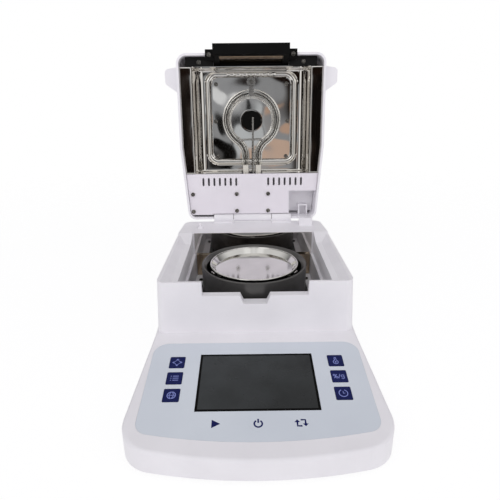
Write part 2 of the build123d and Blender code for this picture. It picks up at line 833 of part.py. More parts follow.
def lcd_module():
    """The display module behind the glass, with a frame that lies behind the console wall."""
    face = display_block(0, -BASE_WALL - SEAM_GAP, -GLASS_T)
    back_z = -BASE_WALL - SEAM_GAP
    back = display_block(MODULE_BORDER, back_z - MODULE_T, back_z)
    return CONSOLE * (face + back)


def main_board():
    """The main board with its larger parts, screwed to the console's posts."""
    half = BOARD_WIDTH / 2
    y0 = -BOARD_DOWN - BOARD_LENGTH / 2
    y1 = -BOARD_DOWN + BOARD_LENGTH / 2
    z1 = -BOARD_DEPTH
    board = slab(-half, half, y0, y1, z1 - BOARD_T, z1)
    for x, y, w, d, h in ((-40, 8, 16, 16, 2), (10, -14, 24, 12, 3), (48, 12, 12, 22, 5)):
        board += slab(x - w / 2, x + w / 2, y - BOARD_DOWN - d / 2, y - BOARD_DOWN + d / 2, z1, z1 + h)
    return CONSOLE * board


# Rear electrics


def mains_inlet():
    """The mains inlet: a flanged body with a socket whose lower corners are cut off."""
    rear = BASE_REAR_Y
    half_x = INLET_WIDTH / 2
    half_z = INLET_HEIGHT / 2
    z = INLET_Z
    body = slab(INLET_X - half_x, INLET_X + half_x, rear - INLET_DEPTH, rear, z - half_z, z + half_z)
    flange_x = half_x + INLET_FLANGE
    flange_z = half_z + INLET_FLANGE
    body += slab(
        INLET_X - flange_x,
        INLET_X + flange_x,
        rear,
        rear + INLET_FLANGE_T,
        z - flange_z,
        z + flange_z,
    )
    sx = SOCKET_WIDTH / 2
    sz = SOCKET_HEIGHT / 2
    cut = 5.0
    socket = along(
        [
            (INLET_X - sx, z - sz + cut),
            (INLET_X - sx + cut, z - sz),
            (INLET_X + sx - cut, z - sz),
            (INLET_X + sx, z - sz + cut),
            (INLET_X + sx, z + sz),
            (INLET_X - sx, z + sz),
        ],
        rear + INLET_FLANGE_T - SOCKET_DEPTH,
        rear + INLET_FLANGE_T + 1,
    )
    return body - socket


def inlet_pins():
    """The three blades in the inlet's socket."""
    back = BASE_REAR_Y + INLET_FLANGE_T - SOCKET_DEPTH
    pins = []
    for x, z in ((-7.0, 2.0), (0.0, -2.0), (7.0, 2.0)):
        px = INLET_X + x
        pz = INLET_Z + z
        pins.append(slab(px - 1, px + 1, back, back + 13, pz - 2, pz + 2))
    return group(pins)


def power_switch():
    """The power switch body, a flanged frame with a curved hollow for its rocker."""
    rear = BASE_REAR_Y
    half_x = SWITCH_WIDTH / 2
    half_z = SWITCH_HEIGHT / 2
    z = INLET_Z
    x = SWITCH_X
    body = slab(x - half_x, x + half_x, rear - SWITCH_DEPTH, rear, z - half_z, z + half_z)
    fx = half_x + SWITCH_FLANGE
    fz = half_z + SWITCH_FLANGE
    body += slab(x - fx, x + fx, rear, rear + SWITCH_FLANGE_T, z - fz, z + fz)
    hollow_x = half_x - SWITCH_WALL
    hollow_z = half_z - SWITCH_WALL
    body -= slab(
        x - hollow_x, x + hollow_x, rear - 9, rear + SWITCH_FLANGE_T + 1, z - hollow_z, z + hollow_z
    )
    return body


def rocker():
    """The rocker: a block with a shallow valley in its face, on a pivot inside the frame."""
    rear = BASE_REAR_Y
    half_x = SWITCH_WIDTH / 2 - 2.4
    half_z = SWITCH_HEIGHT / 2 - 2.0
    z = INLET_Z
    face = rear + SWITCH_FLANGE_T
    x = SWITCH_X
    outline = [
        (x - half_x, rear - 5),
        (x + half_x, rear - 5),
        (x + half_x, face + 1.6),
        (x, face + 0.2),
        (x - half_x, face + 1.6),
    ]
    block = Pos(0, 0, z - half_z) * extrude(plan(outline), amount=2 * half_z)
    pivot_y = rear - ROCKER_PIVOT
    reach = SWITCH_HEIGHT / 2 - SWITCH_WALL
    pivot = rod(ROCKER_PIN_R, x, pivot_y, z - reach, z + reach)
    return (block + pivot).rotate(Axis((x, pivot_y, z), (0, 0, 1)), -ROCKER_TILT)


def serial_port():
    """The data port: a face plate behind the wall, a D-shaped shell and two hex posts."""
    rear = BASE_REAR_Y
    plate_y = rear - BASE_WALL
    z = INLET_Z
    hx = PORT_WIDTH / 2
    hz = PORT_HEIGHT / 2
    plate = slab(PORT_X - hx, PORT_X + hx, plate_y - PORT_T - 6, plate_y, z - hz, z + hz)
    sx = PORT_SHELL_WIDTH / 2
    sz = PORT_SHELL_HEIGHT / 2
    out = plate_y + PORT_SHELL_OUT

    def d_shape(inset, y0, y1):
        return along(
            [
                (PORT_X - sx + inset, z + sz - inset),
                (PORT_X - sx + 1.4 + inset, z - sz + inset),
                (PORT_X + sx - 1.4 - inset, z - sz + inset),
                (PORT_X + sx - inset, z + sz - inset),
            ],
            y0,
            y1,
        )

    return plate + d_shape(0, plate_y, out) - d_shape(0.8, plate_y + 0.5, out + 1)


def power_board():
    """The mains board with its blocks and a heat sink."""
    x0, x1, y0, y1 = -30.0, 84.0, 40.0, 92.0
    low = BASE_GAP + TRAY_T
    board = slab(x0, x1, y0, y1, low + 5, low + 5 + BOARD_T)
    for x in (x0 + 6, x1 - 6):
        for y in (y0 + 6, y1 - 6):
            board += rod(3, x, y, low, low + 5)
    top = low + 5 + BOARD_T
    for x, y, w, d, h in ((-14, 58, 16, 18, 18), (62, 76, 24, 10, 20), (40, 52, 18, 14, 12)):
        board += slab(x - w / 2, x + w / 2, y - d / 2, y + d / 2, top - 0.1, top + h)
    return board


def transformer():
    """The mains transformer: a laminated core round its winding."""
    x, y, low = 12.0, 70.0, BASE_GAP + TRAY_T + 5 + BOARD_T
    core = slab(x - 16, x + 16, y - 14, y + 14, low, low + 26)
    return core


# Hinge and small deck pieces


def hinge_knuckles():
    """The two fixed knuckles on the deck's rear edge."""
    pieces = []
    for side in (-1, 1):
        x0, x1 = sorted((side * KNUCKLE_IN_X, side * KNUCKLE_OUT_X))
        barrel = cross_rod(KNUCKLE_R, x0, x1, HINGE_Y, HINGE_Z)
        web = slab(x0, x1, HINGE_Y - 12, HINGE_Y, DECK_TOP_Z, DECK_TOP_Z + 2.0)
        heel = slab(x0, x1, BOX_REAR_Y + 0.3, HINGE_Y + KNUCKLE_R - 0.6, DECK_TOP_Z - 4, HINGE_Z)
        knuckle = barrel + web + heel
        keep = slab(x0, x1, HINGE_Y - 30, HINGE_Y + 30, DECK_TOP_Z, HINGE_Z + 20)
        keep += slab(x0, x1, BOX_REAR_Y + 0.3, HINGE_Y + 30, DECK_TOP_Z - 4, HINGE_Z + 20)
        knuckle = knuckle & keep
        pieces.append(knuckle - cross_rod(PIN_R + PIN_FIT, x0 - 1, x1 + 1, HINGE_Y, HINGE_Z))
    return group(pieces)


def hinge_pin():
    """The hinge pin through all the knuckles."""
    return cross_rod(PIN_R, -KNUCKLE_OUT_X, KNUCKLE_OUT_X, HINGE_Y, HINGE_Z)


def plunger_guide():
    """The round guide of the lid switch on the deck."""
    guide = rod(PLUNGER_GUIDE_R, PLUNGER_X, PLUNGER_Y, DECK_TOP_Z, DECK_TOP_Z + PLUNGER_GUIDE_H)
    bore = rod(PLUNGER_R + PLUNGER_FIT, PLUNGER_X, PLUNGER_Y, DECK_TOP_Z - 1, DECK_TOP_Z + 5)
    return guide - bore


def plunger():
    """The lid switch's pin with a domed end."""
    pin = rod(PLUNGER_R, PLUNGER_X, PLUNGER_Y, DECK_TOP_Z - 5, PLUNGER_TOP_Z)
    top_edge = pin.edges().filter_by(GeomType.CIRCLE).sort_by(Axis.Z)[-1]
    return fillet(top_edge, PLUNGER_R * 0.6)


def cable_guide_lower():
    """The upright guide on the deck where the lamp's leads leave the base."""
    x0 = GUIDE_X - GUIDE_WIDTH / 2
    x1 = GUIDE_X + GUIDE_WIDTH / 2
    z1 = DECK_TOP_Z + GUIDE_HEIGHT
    block = slab(x0, x1, GUIDE_FRONT_Y, GUIDE_FRONT_Y + GUIDE_THICK, DECK_TOP_Z, z1)
    y0 = GUIDE_FRONT_Y + (GUIDE_THICK - GUIDE_SLOT) / 2
    return block - slab(x0 + 3, x1 - 3, y0, y0 + GUIDE_SLOT, z1 - 7, z1 + 1)


# Lid pieces, drawn in the lid's own plane: x, distance from the hinge, inwards


def lid_outline(inset):
    """The lid's outline: tapered towards the hinge, with rounded corners."""
    face = plan(
        [
            (-LID_HALF_HEEL, -LID_HEEL),
            (LID_HALF_HEEL, -LID_HEEL),
            (LID_HALF, LID_TAPER_AT),
            (LID_HALF, LID_LENGTH),
            (-LID_HALF, LID_LENGTH),
            (-LID_HALF, LID_TAPER_AT),
        ]
    )
    face = rounded(face, LID_HALF, LID_LENGTH, LID_CORNER_R)
    face = rounded(face, LID_HALF_HEEL, -LID_HEEL, LID_HEEL_R)
    return offset(face, amount=-inset) if inset else face


def lid_form(inset, rim, back):
    """The lid's outer form, or its hollow when inset: straight sides, then a drafted crown."""
    straight = rim + LID_STRAIGHT
    crown = back - LID_STRAIGHT
    face = lid_outline(inset)
    form = Pos(0, 0, -LID_STRAIGHT) * extrude(face, amount=straight)
    top = Pos(0, 0, -LID_STRAIGHT) * extrude(face, amount=-crown, taper=LID_DRAFT)
    return form + top


def lid_ear(side):
    """A grip ear on one side of the lid, with a slanted lower edge."""
    outer = side * (LID_HALF + EAR_REACH)
    inner = side * (LID_HALF - 1)
    face = plan([(inner, EAR_LOW), (outer, EAR_LOW_OUT), (outer, EAR_TOP_OUT), (inner, EAR_TOP)])
    corners = [v for v in face.vertices() if abs(v.X - outer) < 0.01]
    face = fillet(corners, EAR_CORNER_R)
    ear = Pos(0, 0, -EAR_SET_BACK) * extrude(face, amount=-EAR_DEPTH)
    return ear


def lid_shell():
    """The lid's white shell with its ears and the vent slots in its crown."""
    outer = lid_form(0, LID_RIM_IN, LID_DEPTH)
    crown_edges = outer.edges().filter_by(lambda e: abs(e.center().Z + LID_DEPTH) < 0.01)
    outer = fillet(crown_edges, LID_BACK_R)
    shell = outer - lid_form(LID_WALL, LID_RIM_IN + 1, LID_DEPTH - LID_WALL)
    shell += lid_ear(-1)
    shell += lid_ear(1)
    first = -(VENT_COUNT - 1) / 2 * VENT_PITCH
    vents = []
    for number in range(VENT_COUNT):
        slot = Rot(0, 0, 90) * SlotOverall(VENT_LENGTH, VENT_WIDTH)
        slot = extrude(slot, amount=3 * LID_WALL)
        vents.append(Pos(first + number * VENT_PITCH, VENT_AT, -LID_DEPTH - LID_WALL) * slot)
    shell -= vents
    half = WING_HALF + SEAM_GAP
    shell -= slab(-half, half, LID_LENGTH - 8, LID_LENGTH + 2, FRAME_BACK - 14, LID_RIM_IN + 2)
    half = LID_KNUCKLE_HALF
    shell -= slab(-half, half, -9, 5, -11, LID_RIM_IN + 1)
    for side in (-1, 1):
        x0, x1 = sorted((side * KNUCKLE_IN_X, side * KNUCKLE_OUT_X))
        clear = KNUCKLE_R + KNUCKLE_CLEAR
        shell -= cross_rod(clear, x0 - KNUCKLE_CLEAR, x1 + KNUCKLE_CLEAR, 0, 0)
    return LID * shell


def lid_panel():
    """The white panel near the hinge, with two rows of vent slots and a corner cut away."""
    inset = LID_WALL + PANEL_EDGE_GAP
    face = lid_outline(inset) & Pos(0, (PANEL_LOW + PANEL_TOP) / 2, 0) * Rectangle(
        2 * LID_HALF, PANEL_TOP - PANEL_LOW
    )
    panel = Pos(0, 0, -PANEL_T) * extrude(face, amount=PANEL_T)
    for side in (-1, 1):
        for number in range(SLOT_COUNT):
            x = side * (SLOT_IN_X + number * SLOT_PITCH)
            slot = extrude(Rot(0, 0, 90) * SlotOverall(SLOT_LENGTH, SLOT_WIDTH), amount=6)
            panel -= Pos(x, SLOT_AT, -3) * slot
    panel -= slab(CUTOUT_X, LID_HALF, PANEL_LOW - 5, CUTOUT_TOP, -5, 5)
    clear = KNUCKLE_R + KNUCKLE_CLEAR
    panel -= cross_rod(clear, -KNUCKLE_OUT_X - 1, KNUCKLE_OUT_X + 1, 0, 0)
    half = LEG_X + CERAMIC_WIDTH
    flange = slab(-LID_HALF_HEEL + 8, CUTOUT_X, PANEL_TOP - 2, PANEL_TOP, -12, -PANEL_T / 2)
    flange -= slab(-half, half, PANEL_TOP - 3, PANEL_TOP + 1, -13, -PANEL_T)
    return LID * (panel + flange)


def lid_knuckle():
    """The moving knuckle with the leaf that carries the lid's panel."""
    half = LID_KNUCKLE_HALF
    barrel = cross_rod(KNUCKLE_R, -half, half, 0, 0)
    leaf = slab(-half, half, 0, 16, -PANEL_T - 2.4, -PANEL_T)
    tie = slab(-half, half, -KNUCKLE_R + 1.2, 5, -PANEL_T - 2.4, 0)
    knuckle = barrel + (leaf + tie)
    return LID * (knuckle - cross_rod(PIN_R + PIN_FIT, -half - 1, half + 1, 0, 0))


def reflector_face(drop):
    """The reflector's outline at a depth below its mouth."""
    ease = drop * tan(radians(REFLECTOR_SIDE_SLOPE))
    return plan(
        [
            (-REFLECTOR_HALF_LOW + ease, REFLECTOR_LOW),
            (REFLECTOR_HALF_LOW - ease, REFLECTOR_LOW),
            (REFLECTOR_HALF_TOP - ease, REFLECTOR_TOP),
            (-REFLECTOR_HALF_TOP + ease, REFLECTOR_TOP),
        ]
    )


def bead_face(grow):
    """The outline of the bead on the reflector's floor."""
    height = BEAD_TOP - BEAD_LOW + 2 * grow
    face = RectangleRounded(2 * (BEAD_HALF + grow), height, BEAD_R + grow)
    return Pos(0, (BEAD_TOP + BEAD_LOW) / 2, 0) * face


def reflector():
    """The polished reflector: a shallow tray with sloped sides, a raised bead and a round hole."""
    floor_in = -REFLECTOR_MOUTH - REFLECTOR_DEPTH
    deep = REFLECTOR_DEPTH
    outer = loft(
        [
            (Pos(0, 0, floor_in) * reflector_face(deep)).face(),
            (Pos(0, 0, -REFLECTOR_MOUTH) * reflector_face(0)).face(),
        ]
    )
    t = REFLECTOR_T
    low = offset(reflector_face(deep), amount=-t)
    high = offset(reflector_face(0), amount=-t)
    inner = loft(
        [
            (Pos(0, 0, floor_in + t) * low).face(),
            (Pos(0, 0, -REFLECTOR_MOUTH + 0.01) * high).face(),
        ]
    )
    tray = outer - inner
    bead = extrude(bead_face(0), amount=BEAD_HEIGHT, taper=12)
    bead -= extrude(bead_face(-BEAD_WIDTH), amount=BEAD_HEIGHT + 1)
    tray += Pos(0, 0, floor_in + t / 2) * bead
    hole = Pos(0, HOLE_AT, floor_in - 1) * Cylinder(HOLE_R, 8)
    gap = 2 * LEG_X + CERAMIC_WIDTH + 4
    mouth = slab(-gap / 2, gap / 2, REFLECTOR_LOW - 1, REFLECTOR_LOW + 2, LAMP_IN - 7, 1)
    return LID * (tray - hole - mouth)


def lamp_path():
    """The lamp tube's centre line: two legs, two easing arcs and a ring."""
    spread = radians(LEG_ARC_SPREAD)
    meet_x = LAMP_R * cos(radians(90) - (radians(90) - spread))
    meet_x = LAMP_R * cos(spread)
    meet_y = LAMP_AT - LAMP_R * sin(spread)
    ease_r = (meet_x - LEG_X) / (1 - cos(spread))
    leg_top = meet_y - ease_r * sin(spread)
    half = spread / 2
    mid_x = LEG_X + ease_r * (1 - cos(half))
    mid_y = leg_top + ease_r * sin(half)
    right_leg = Line((LEG_X, LEG_LOW), (LEG_X, leg_top))
    right_ease = ThreePointArc((LEG_X, leg_top), (mid_x, mid_y), (meet_x, meet_y))
    ring = ThreePointArc((meet_x, meet_y), (0, LAMP_AT + LAMP_R), (-meet_x, meet_y))
    left_ease = ThreePointArc((-meet_x, meet_y), (-mid_x, mid_y), (-LEG_X, leg_top))
    left_leg = Line((-LEG_X, leg_top), (-LEG_X, LEG_LOW))
    return Wire([right_leg, right_ease, ring, left_ease, left_leg])


def halogen_lamp():
    """The ring-shaped lamp tube."""
    path = lamp_path()
    start = Plane(origin=(LEG_X, LEG_LOW, 0), x_dir=(1, 0, 0), z_dir=(0, 1, 0))
    tube = sweep(start * Circle(LAMP_TUBE_R), path=path)
    return LID * (Pos(0, 0, LAMP_IN) * tube)


def lamp_sockets():
    """The two ceramic ends of the lamp, which reach behind the panel."""
    pieces = []
    for side in (-1, 1):
        x = side * LEG_X
        w = CERAMIC_WIDTH / 2
        t = CERAMIC_T / 2
        block = slab(x - w, x + w, CERAMIC_LOW, LEG_LOW, LAMP_IN - t, LAMP_IN + t)
        pieces.append(LID * block)
    return group(pieces)


def lamp_bracket():
    """The sheet clip that carries the top of the lamp's ring."""
    floor_in = -REFLECTOR_MOUTH - REFLECTOR_DEPTH + REFLECTOR_T
    half = BRACKET_WIDTH / 2
    top_in = LAMP_IN + LAMP_TUBE_R + 0.3
    low = LAMP_AT + LAMP_R + LAMP_TUBE_R + 0.3
    foot_part = slab(-half, half, low, BRACKET_TOP, floor_in, floor_in + BRACKET_T)
    upright = slab(-half, half, low, low + BRACKET_T, floor_in, top_in + BRACKET_T)
    hook = slab(-half, half, LAMP_AT + LAMP_R - 4, low + BRACKET_T, top_in, top_in + BRACKET_T)
    return LID * (foot_part + upright + hook)


def wire_clip():
    """The wire clip that ties the two easing arcs of the lamp."""
    z = LAMP_IN + LAMP_TUBE_R + CLIP_R + SEAM_GAP
    low = -REFLECTOR_MOUTH - REFLECTOR_DEPTH + REFLECTOR_T
    bar = cross_rod(CLIP_R, -CLIP_HALF, CLIP_HALF, CLIP_AT, z)
    for side in (-1, 1):
        bar += rod(CLIP_R, side * CLIP_DROP_X, CLIP_AT, low, z)
    return LID * bar


def temperature_probe():
    """The thin temperature probe that reaches to the middle of the lamp."""
    length = PROBE_TOP - PROBE_LOW
    body = Pos(PROBE_X, (PROBE_TOP + PROBE_LOW) / 2, PROBE_IN) * Rot(90, 0, 0)
    return LID * (body * Cylinder(PROBE_R, length))


def thermal_cutout():
    """The round thermal cut-out behind the hole in the reflector."""
    floor_in = -REFLECTOR_MOUTH - REFLECTOR_DEPTH
    disc = Pos(0, HOLE_AT, floor_in - CUTOUT_DISC_T / 2) * Cylinder(CUTOUT_DISC_R, CUTOUT_DISC_T)
    return LID * disc


def side_extrude(points, half):
    """A lid piece with a side outline of (distance from hinge, inwards) points."""
    return across(points, -half, half)


def window_frame():
    """The black window frame with its handle lip and two screw wings."""
    rise = FRAME_IN - FRAME_BACK
    run = 12.5
    length = sqrt(rise ** 2 + run ** 2)
    out_v = FRAME_T * rise / length
    out_w = -FRAME_T * run / length
    body = side_extrude(
        [
            (FRAME_LOW, FRAME_BACK),
            (FRAME_LOW + run, FRAME_IN),
            (FRAME_TOP, FRAME_IN),
            (FRAME_TOP, FRAME_IN - LIP_T),
            (FRAME_LOW + run + out_v + 1, FRAME_IN - LIP_T + 0.5),
            (FRAME_LOW + out_v, FRAME_BACK + out_w),
        ],
        FRAME_HALF,
    )
    wing = slab(-WING_HALF, WING_HALF, WING_LOW, WING_TOP, LID_RIM_IN, LID_RIM_IN + WING_T)
    wing -= slab(-FRAME_HALF + 1, FRAME_HALF - 1, WING_LOW - 5, WING_TOP + 5, 0, 30)
    body += wing
    middle = Plane(
        origin=(0, FRAME_LOW + run / 2, (FRAME_IN + FRAME_BACK) / 2),
        x_dir=(1, 0, 0),
        z_dir=(0, -rise / length, run / length),
    )
    see = Box(2 * WINDOW_HALF, WINDOW_HEIGHT, 40)
    seat = Box(2 * WINDOW_HALF + 4, WINDOW_HEIGHT + 4, WINDOW_T)
    body -= middle * see
    body -= middle * (Pos(0, 0, -WINDOW_INSET - WINDOW_T / 2) * seat)
    glass = Box(2 * WINDOW_HALF + 3.4, WINDOW_HEIGHT + 3.4, WINDOW_T)
    glass = middle * (Pos(0, 0, -WINDOW_INSET - WINDOW_T / 2) * glass)
    return LID * body, LID * glass


def lid_end_plate():
    """The black plate across the free end of the lid, cut away for the window frame."""
    half = END_PLATE_HALF
    z1 = END_PLATE_IN
    plate = slab(-half, half, END_PLATE_LOW, END_PLATE_TOP, z1 - END_PLATE_T, z1)
    cut = FRAME_HALF + SEAM_GAP
    return LID * (plate - slab(-cut, cut, END_PLATE_LOW - 1, END_PLATE_TOP + 1, z1 - 3, z1 + 3))


def cable_guide_upper():
    """The hooded guide in the lid where the lamp's leads enter."""
    x0 = GUIDE_X - HOOD_WIDTH / 2
    x1 = GUIDE_X + HOOD_WIDTH / 2
    heel = LID_WALL - LID_HEEL
    hood = slab(x0, x1, heel, HOOD_TOP, -LID_STRAIGHT, -LID_STRAIGHT + HOOD_DEPTH)
    inner = HOOD_TOP - HOOD_WALL
    hood -= slab(x0 + HOOD_WALL, x1 - HOOD_WALL, -1, inner, -LID_STRAIGHT + HOOD_WALL, 0)
    return LID * hood


def lid_screws():
    """All the screws seen in the open lid."""
    spots = []
    for x, v in ((-81.3, 32.9), (-81.3, 9.2), (-21.4, 33.1), (21.5, 33.1)):
        spots.append((x, v, 0.0))
    for x in (-21.4, 21.5):
        spots.append((x, 9.8, 0.0))
    floor_in = -REFLECTOR_MOUTH - REFLECTOR_DEPTH + REFLECTOR_T
    for x, v in ((49.0, 129.2), (47.4, 82.0), (47.4, 177.3)):
        spots.append((x, v, floor_in))
        spots.append((-x, v, floor_in))
    spots.append((0.0, BRACKET_TOP - 5, floor_in + BRACKET_T))
    for side in (-1, 1):
        spots.append((side * 67.0, 201.5, END_PLATE_IN))
        spots.append((side * 53.0, 209.0, LID_RIM_IN + WING_T))
    return group(LID * screw(x, v, w) for x, v, w in spots)


def build():
    """Every node by name, in the order of the report."""
    nodes = {}
    nodes["base_housing"] = base_housing()
    nodes["bottom_tray"] = bottom_tray()
    nodes["chamber_housing"] = chamber_housing()
    nodes["chamber_floor"] = chamber_floor()
    nodes["back_plate_upper"], nodes["back_plate_lower"] = back_plates()
    nodes["ring_seat_plate"] = ring_seat()
    nodes["floor_screws"] = floor_screws()
    nodes["draft_ring"] = draft_ring()
    nodes["pan_support"] = pan_support()
    nodes["sample_pan"] = sample_pan()
    nodes["load_receiver"] = load_receiver()
    nodes["load_cell"] = load_cell()
    nodes["load_cell_mount"] = load_cell_mount()
    nodes["keypad_film"] = keypad_film()
    nodes["display_glass"] = display_glass()
    nodes["lcd_module"] = lcd_module()
    nodes["main_board"] = main_board()
    nodes["power_board"] = power_board()
    nodes["transformer"] = transformer()
    nodes["mains_inlet"] = mains_inlet()
    nodes["inlet_pins"] = inlet_pins()
    nodes["power_switch_body"] = power_switch()
    nodes["power_rocker"] = rocker()
    nodes["serial_port"] = serial_port()
    nodes["hinge_knuckles"] = hinge_knuckles()
    nodes["hinge_pin"] = hinge_pin()
    nodes["plunger_guide"] = plunger_guide()
    nodes["lid_switch_plunger"] = plunger()
    nodes["cable_guide_lower"] = cable_guide_lower()
    for name, x, y, form in key_places():
        nodes[name] = key(x, y, form)
    for name, x, y in foot_places():
        nodes[name] = foot(x, y)
    nodes["lid_shell"] = lid_shell()
    nodes["lid_panel"] = lid_panel()
    nodes["lid_knuckle"] = lid_knuckle()
    nodes["reflector"] = reflector()
    nodes["halogen_lamp"] = halogen_lamp()
    nodes["lamp_sockets"] = lamp_sockets()
    nodes["lamp_bracket"] = lamp_bracket()
    nodes["lamp_wire_clip"] = wire_clip()
    nodes["temperature_probe"] = temperature_probe()
    nodes["thermal_cutout"] = thermal_cutout()
    nodes["window_frame"], nodes["window_glass"] = window_frame()
    nodes["lid_end_plate"] = lid_end_plate()
    nodes["cable_guide_upper"] = cable_guide_upper()
    nodes["lid_screws"] = lid_screws()
    return nodes


nodes = build()
low_y = min(shape.bounding_box().min.Y for shape in nodes.values())
high_y = max(shape.bounding_box().max.Y for shape in nodes.values())
shift = -(low_y + high_y) / 2
os.makedirs("parts", exist_ok=True)
for name, shape in nodes.items():
    export_step(Pos(0, shift, 0) * shape, f"parts/{name}.step")
print("pan axis is at y =", round(shift, 3), "and the hinge at y =", round(HINGE_Y + shift, 3))
print("pieces:", len(nodes), "depth:", round(high_y - low_y, 1))
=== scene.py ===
# %% [markdown]
# A bench moisture analyser with its heating lid open: a white moulded base with a sloped keypad, a
# draught ring and a pan in the chamber, and a ring lamp in a mirror-bright reflector under the lid.
# The sized model of every piece is the frame that everything else is hung on. This lesson gives
# each piece the finish of the material it is made of, and adds what is printed, wound or blown.

# %% Load the sized model
import bpy
import math
import numpy as np
from mathutils import Matrix


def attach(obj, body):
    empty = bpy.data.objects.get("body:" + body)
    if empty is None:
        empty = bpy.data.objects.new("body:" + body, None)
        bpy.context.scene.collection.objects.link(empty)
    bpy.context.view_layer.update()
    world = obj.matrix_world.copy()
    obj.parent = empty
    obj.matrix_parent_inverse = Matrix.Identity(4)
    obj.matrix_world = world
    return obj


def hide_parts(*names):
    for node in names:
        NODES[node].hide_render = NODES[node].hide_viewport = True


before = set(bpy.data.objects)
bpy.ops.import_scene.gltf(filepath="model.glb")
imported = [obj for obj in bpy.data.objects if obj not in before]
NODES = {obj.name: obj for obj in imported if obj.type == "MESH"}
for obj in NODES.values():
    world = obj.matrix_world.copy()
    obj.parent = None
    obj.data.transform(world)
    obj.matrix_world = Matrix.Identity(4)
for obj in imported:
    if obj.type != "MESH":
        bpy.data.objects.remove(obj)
bpy.context.view_layer.update()
MM = 0.001

# %% [markdown]
# The photograph was taken from a little above the keypad, looking down by about twenty degrees. The
# camera's place and its lens were worked out once from edges whose real sizes are known, such as the
# pan and the chamber's rim. A camera could also be set by eye, but then no edge would quite agree.

# %% Camera
SENSOR = 36.0
LENS_IN_PIXELS = 439.22
IMAGE_PIXELS = 500
CAMERA_AT = np.array((-6.23, -452.11, 281.94)) * MM
PITCH_DOWN, YAW, ROLL = (math.radians(a) for a in (20.559, 0.216, -0.588))


def camera_matrix():
    """The camera's axes: forwards from yaw and pitch, then right and up turned about it by the roll."""
    forward = np.array(
        (
            math.sin(YAW) * math.cos(PITCH_DOWN),
            math.cos(YAW) * math.cos(PITCH_DOWN),
            -math.sin(PITCH_DOWN),
        )
    )
    level = np.array((math.cos(YAW), -math.sin(YAW), 0.0))
    upright = np.cross(level, forward)
    right = level * math.cos(ROLL) + upright * math.sin(ROLL)
    up = upright * math.cos(ROLL) - level * math.sin(ROLL)
    matrix = np.identity(4)
    matrix[:3, 0], matrix[:3, 1], matrix[:3, 2] = right, up, -forward
    matrix[:3, 3] = CAMERA_AT
    return Matrix(matrix.tolist())


camera = bpy.data.objects.new("camera", bpy.data.cameras.new("camera"))
bpy.context.scene.collection.objects.link(camera)
camera.data.sensor_width = SENSOR
camera.data.lens = LENS_IN_PIXELS * SENSOR / IMAGE_PIXELS
camera.data.clip_start, camera.data.clip_end = 0.01, 50.0
camera.matrix_world = camera_matrix()
bpy.context.scene.camera = camera
print("lens in mm:", round(camera.data.lens, 2))

# %% [markdown]
# A material in this file is a short chain of nodes. One helper adds a node with its settings and
# its inputs, and one turns the hex colour that a picture editor shows into the linear numbers that
# light is worked out with. Patterns read Object coordinates, in metres, so their scale is real.

# %% Node and colour helpers


def linear(code, alpha=1.0):
    """An sRGB hex colour as linear light: c / 12.92 when dark, otherwise ((c + 0.055) / 1.055) ** 2.4."""
    shares = np.array([int(code[i : i + 2], 16) / 255 for i in (1, 3, 5)])
    light = np.where(shares <= 0.04045, shares / 12.92, ((shares + 0.055) / 1.055) ** 2.4)
    return (*light.tolist(), alpha)


def add(tree, kind, inputs=None, **settings):
    """Adds a node; an input is a plain value or another node's output."""
    node = tree.nodes.new(kind)
    for name, value in settings.items():
        setattr(node, name, value)
    for socket, value in (inputs or {}).items():
        if isinstance(value, bpy.types.NodeSocket):
            tree.links.new(value, node.inputs[socket])
        else:
            node.inputs[socket].default_value = value
    return node


COLOUR_A, COLOUR_B, COLOUR_OUT = 6, 7, 2


def blended(tree, amount, first, second):
    """A colour between two others, by an amount from 0 to 1."""
    inputs = {0: amount, COLOUR_A: first, COLOUR_B: second}
    return add(tree, "ShaderNodeMix", inputs, data_type="RGBA").outputs[COLOUR_OUT]


def ranged(tree, value, low, high, new_low, new_high):
    """A value moved from one range to another and held inside it."""
    inputs = {"Value": value, 1: low, 2: high, 3: new_low, 4: new_high}
    return add(tree, "ShaderNodeMapRange", inputs).outputs["Result"]


def new_material(name):
    """An empty material: its tree and its shader."""
    material = bpy.data.materials.new(name)
    material.use_nodes = True
    return material, material.node_tree, material.node_tree.nodes["Principled BSDF"]


def place(tree, stretch=(1.0, 1.0, 1.0)):
    """Object coordinates in metres, stretched along an axis where a finish has a direction."""
    source = add(tree, "ShaderNodeTexCoord").outputs["Object"]
    mapping = add(tree, "ShaderNodeMapping", {"Vector": source, "Scale": stretch})
    return mapping.outputs["Vector"]


def speckle(tree, vector, size_mm, detail=3.0):
    """Noise whose patches are about a given size in millimetres."""
    inputs = {"Vector": vector, "Scale": 1.0 / (size_mm * MM), "Detail": detail}
    return add(tree, "ShaderNodeTexNoise", inputs).outputs["Fac"]


def raised(tree, shader, height, strength, depth_mm):
    """Fine relief on a shader's normal, from a height pattern and a real depth."""
    inputs = {"Height": height, "Strength": strength, "Distance": depth_mm * MM}
    bump = add(tree, "ShaderNodeBump", inputs)
    tree.links.new(bump.outputs["Normal"], shader.inputs["Normal"])


TONE_SPREAD, GLOSS_SPREAD = (0.3, 0.7), (0.25, 0.75)
METAL_SHINE, COAT_ROUGH, BUCKLE_SIZE_MM = 0.5, 0.12, 62.0


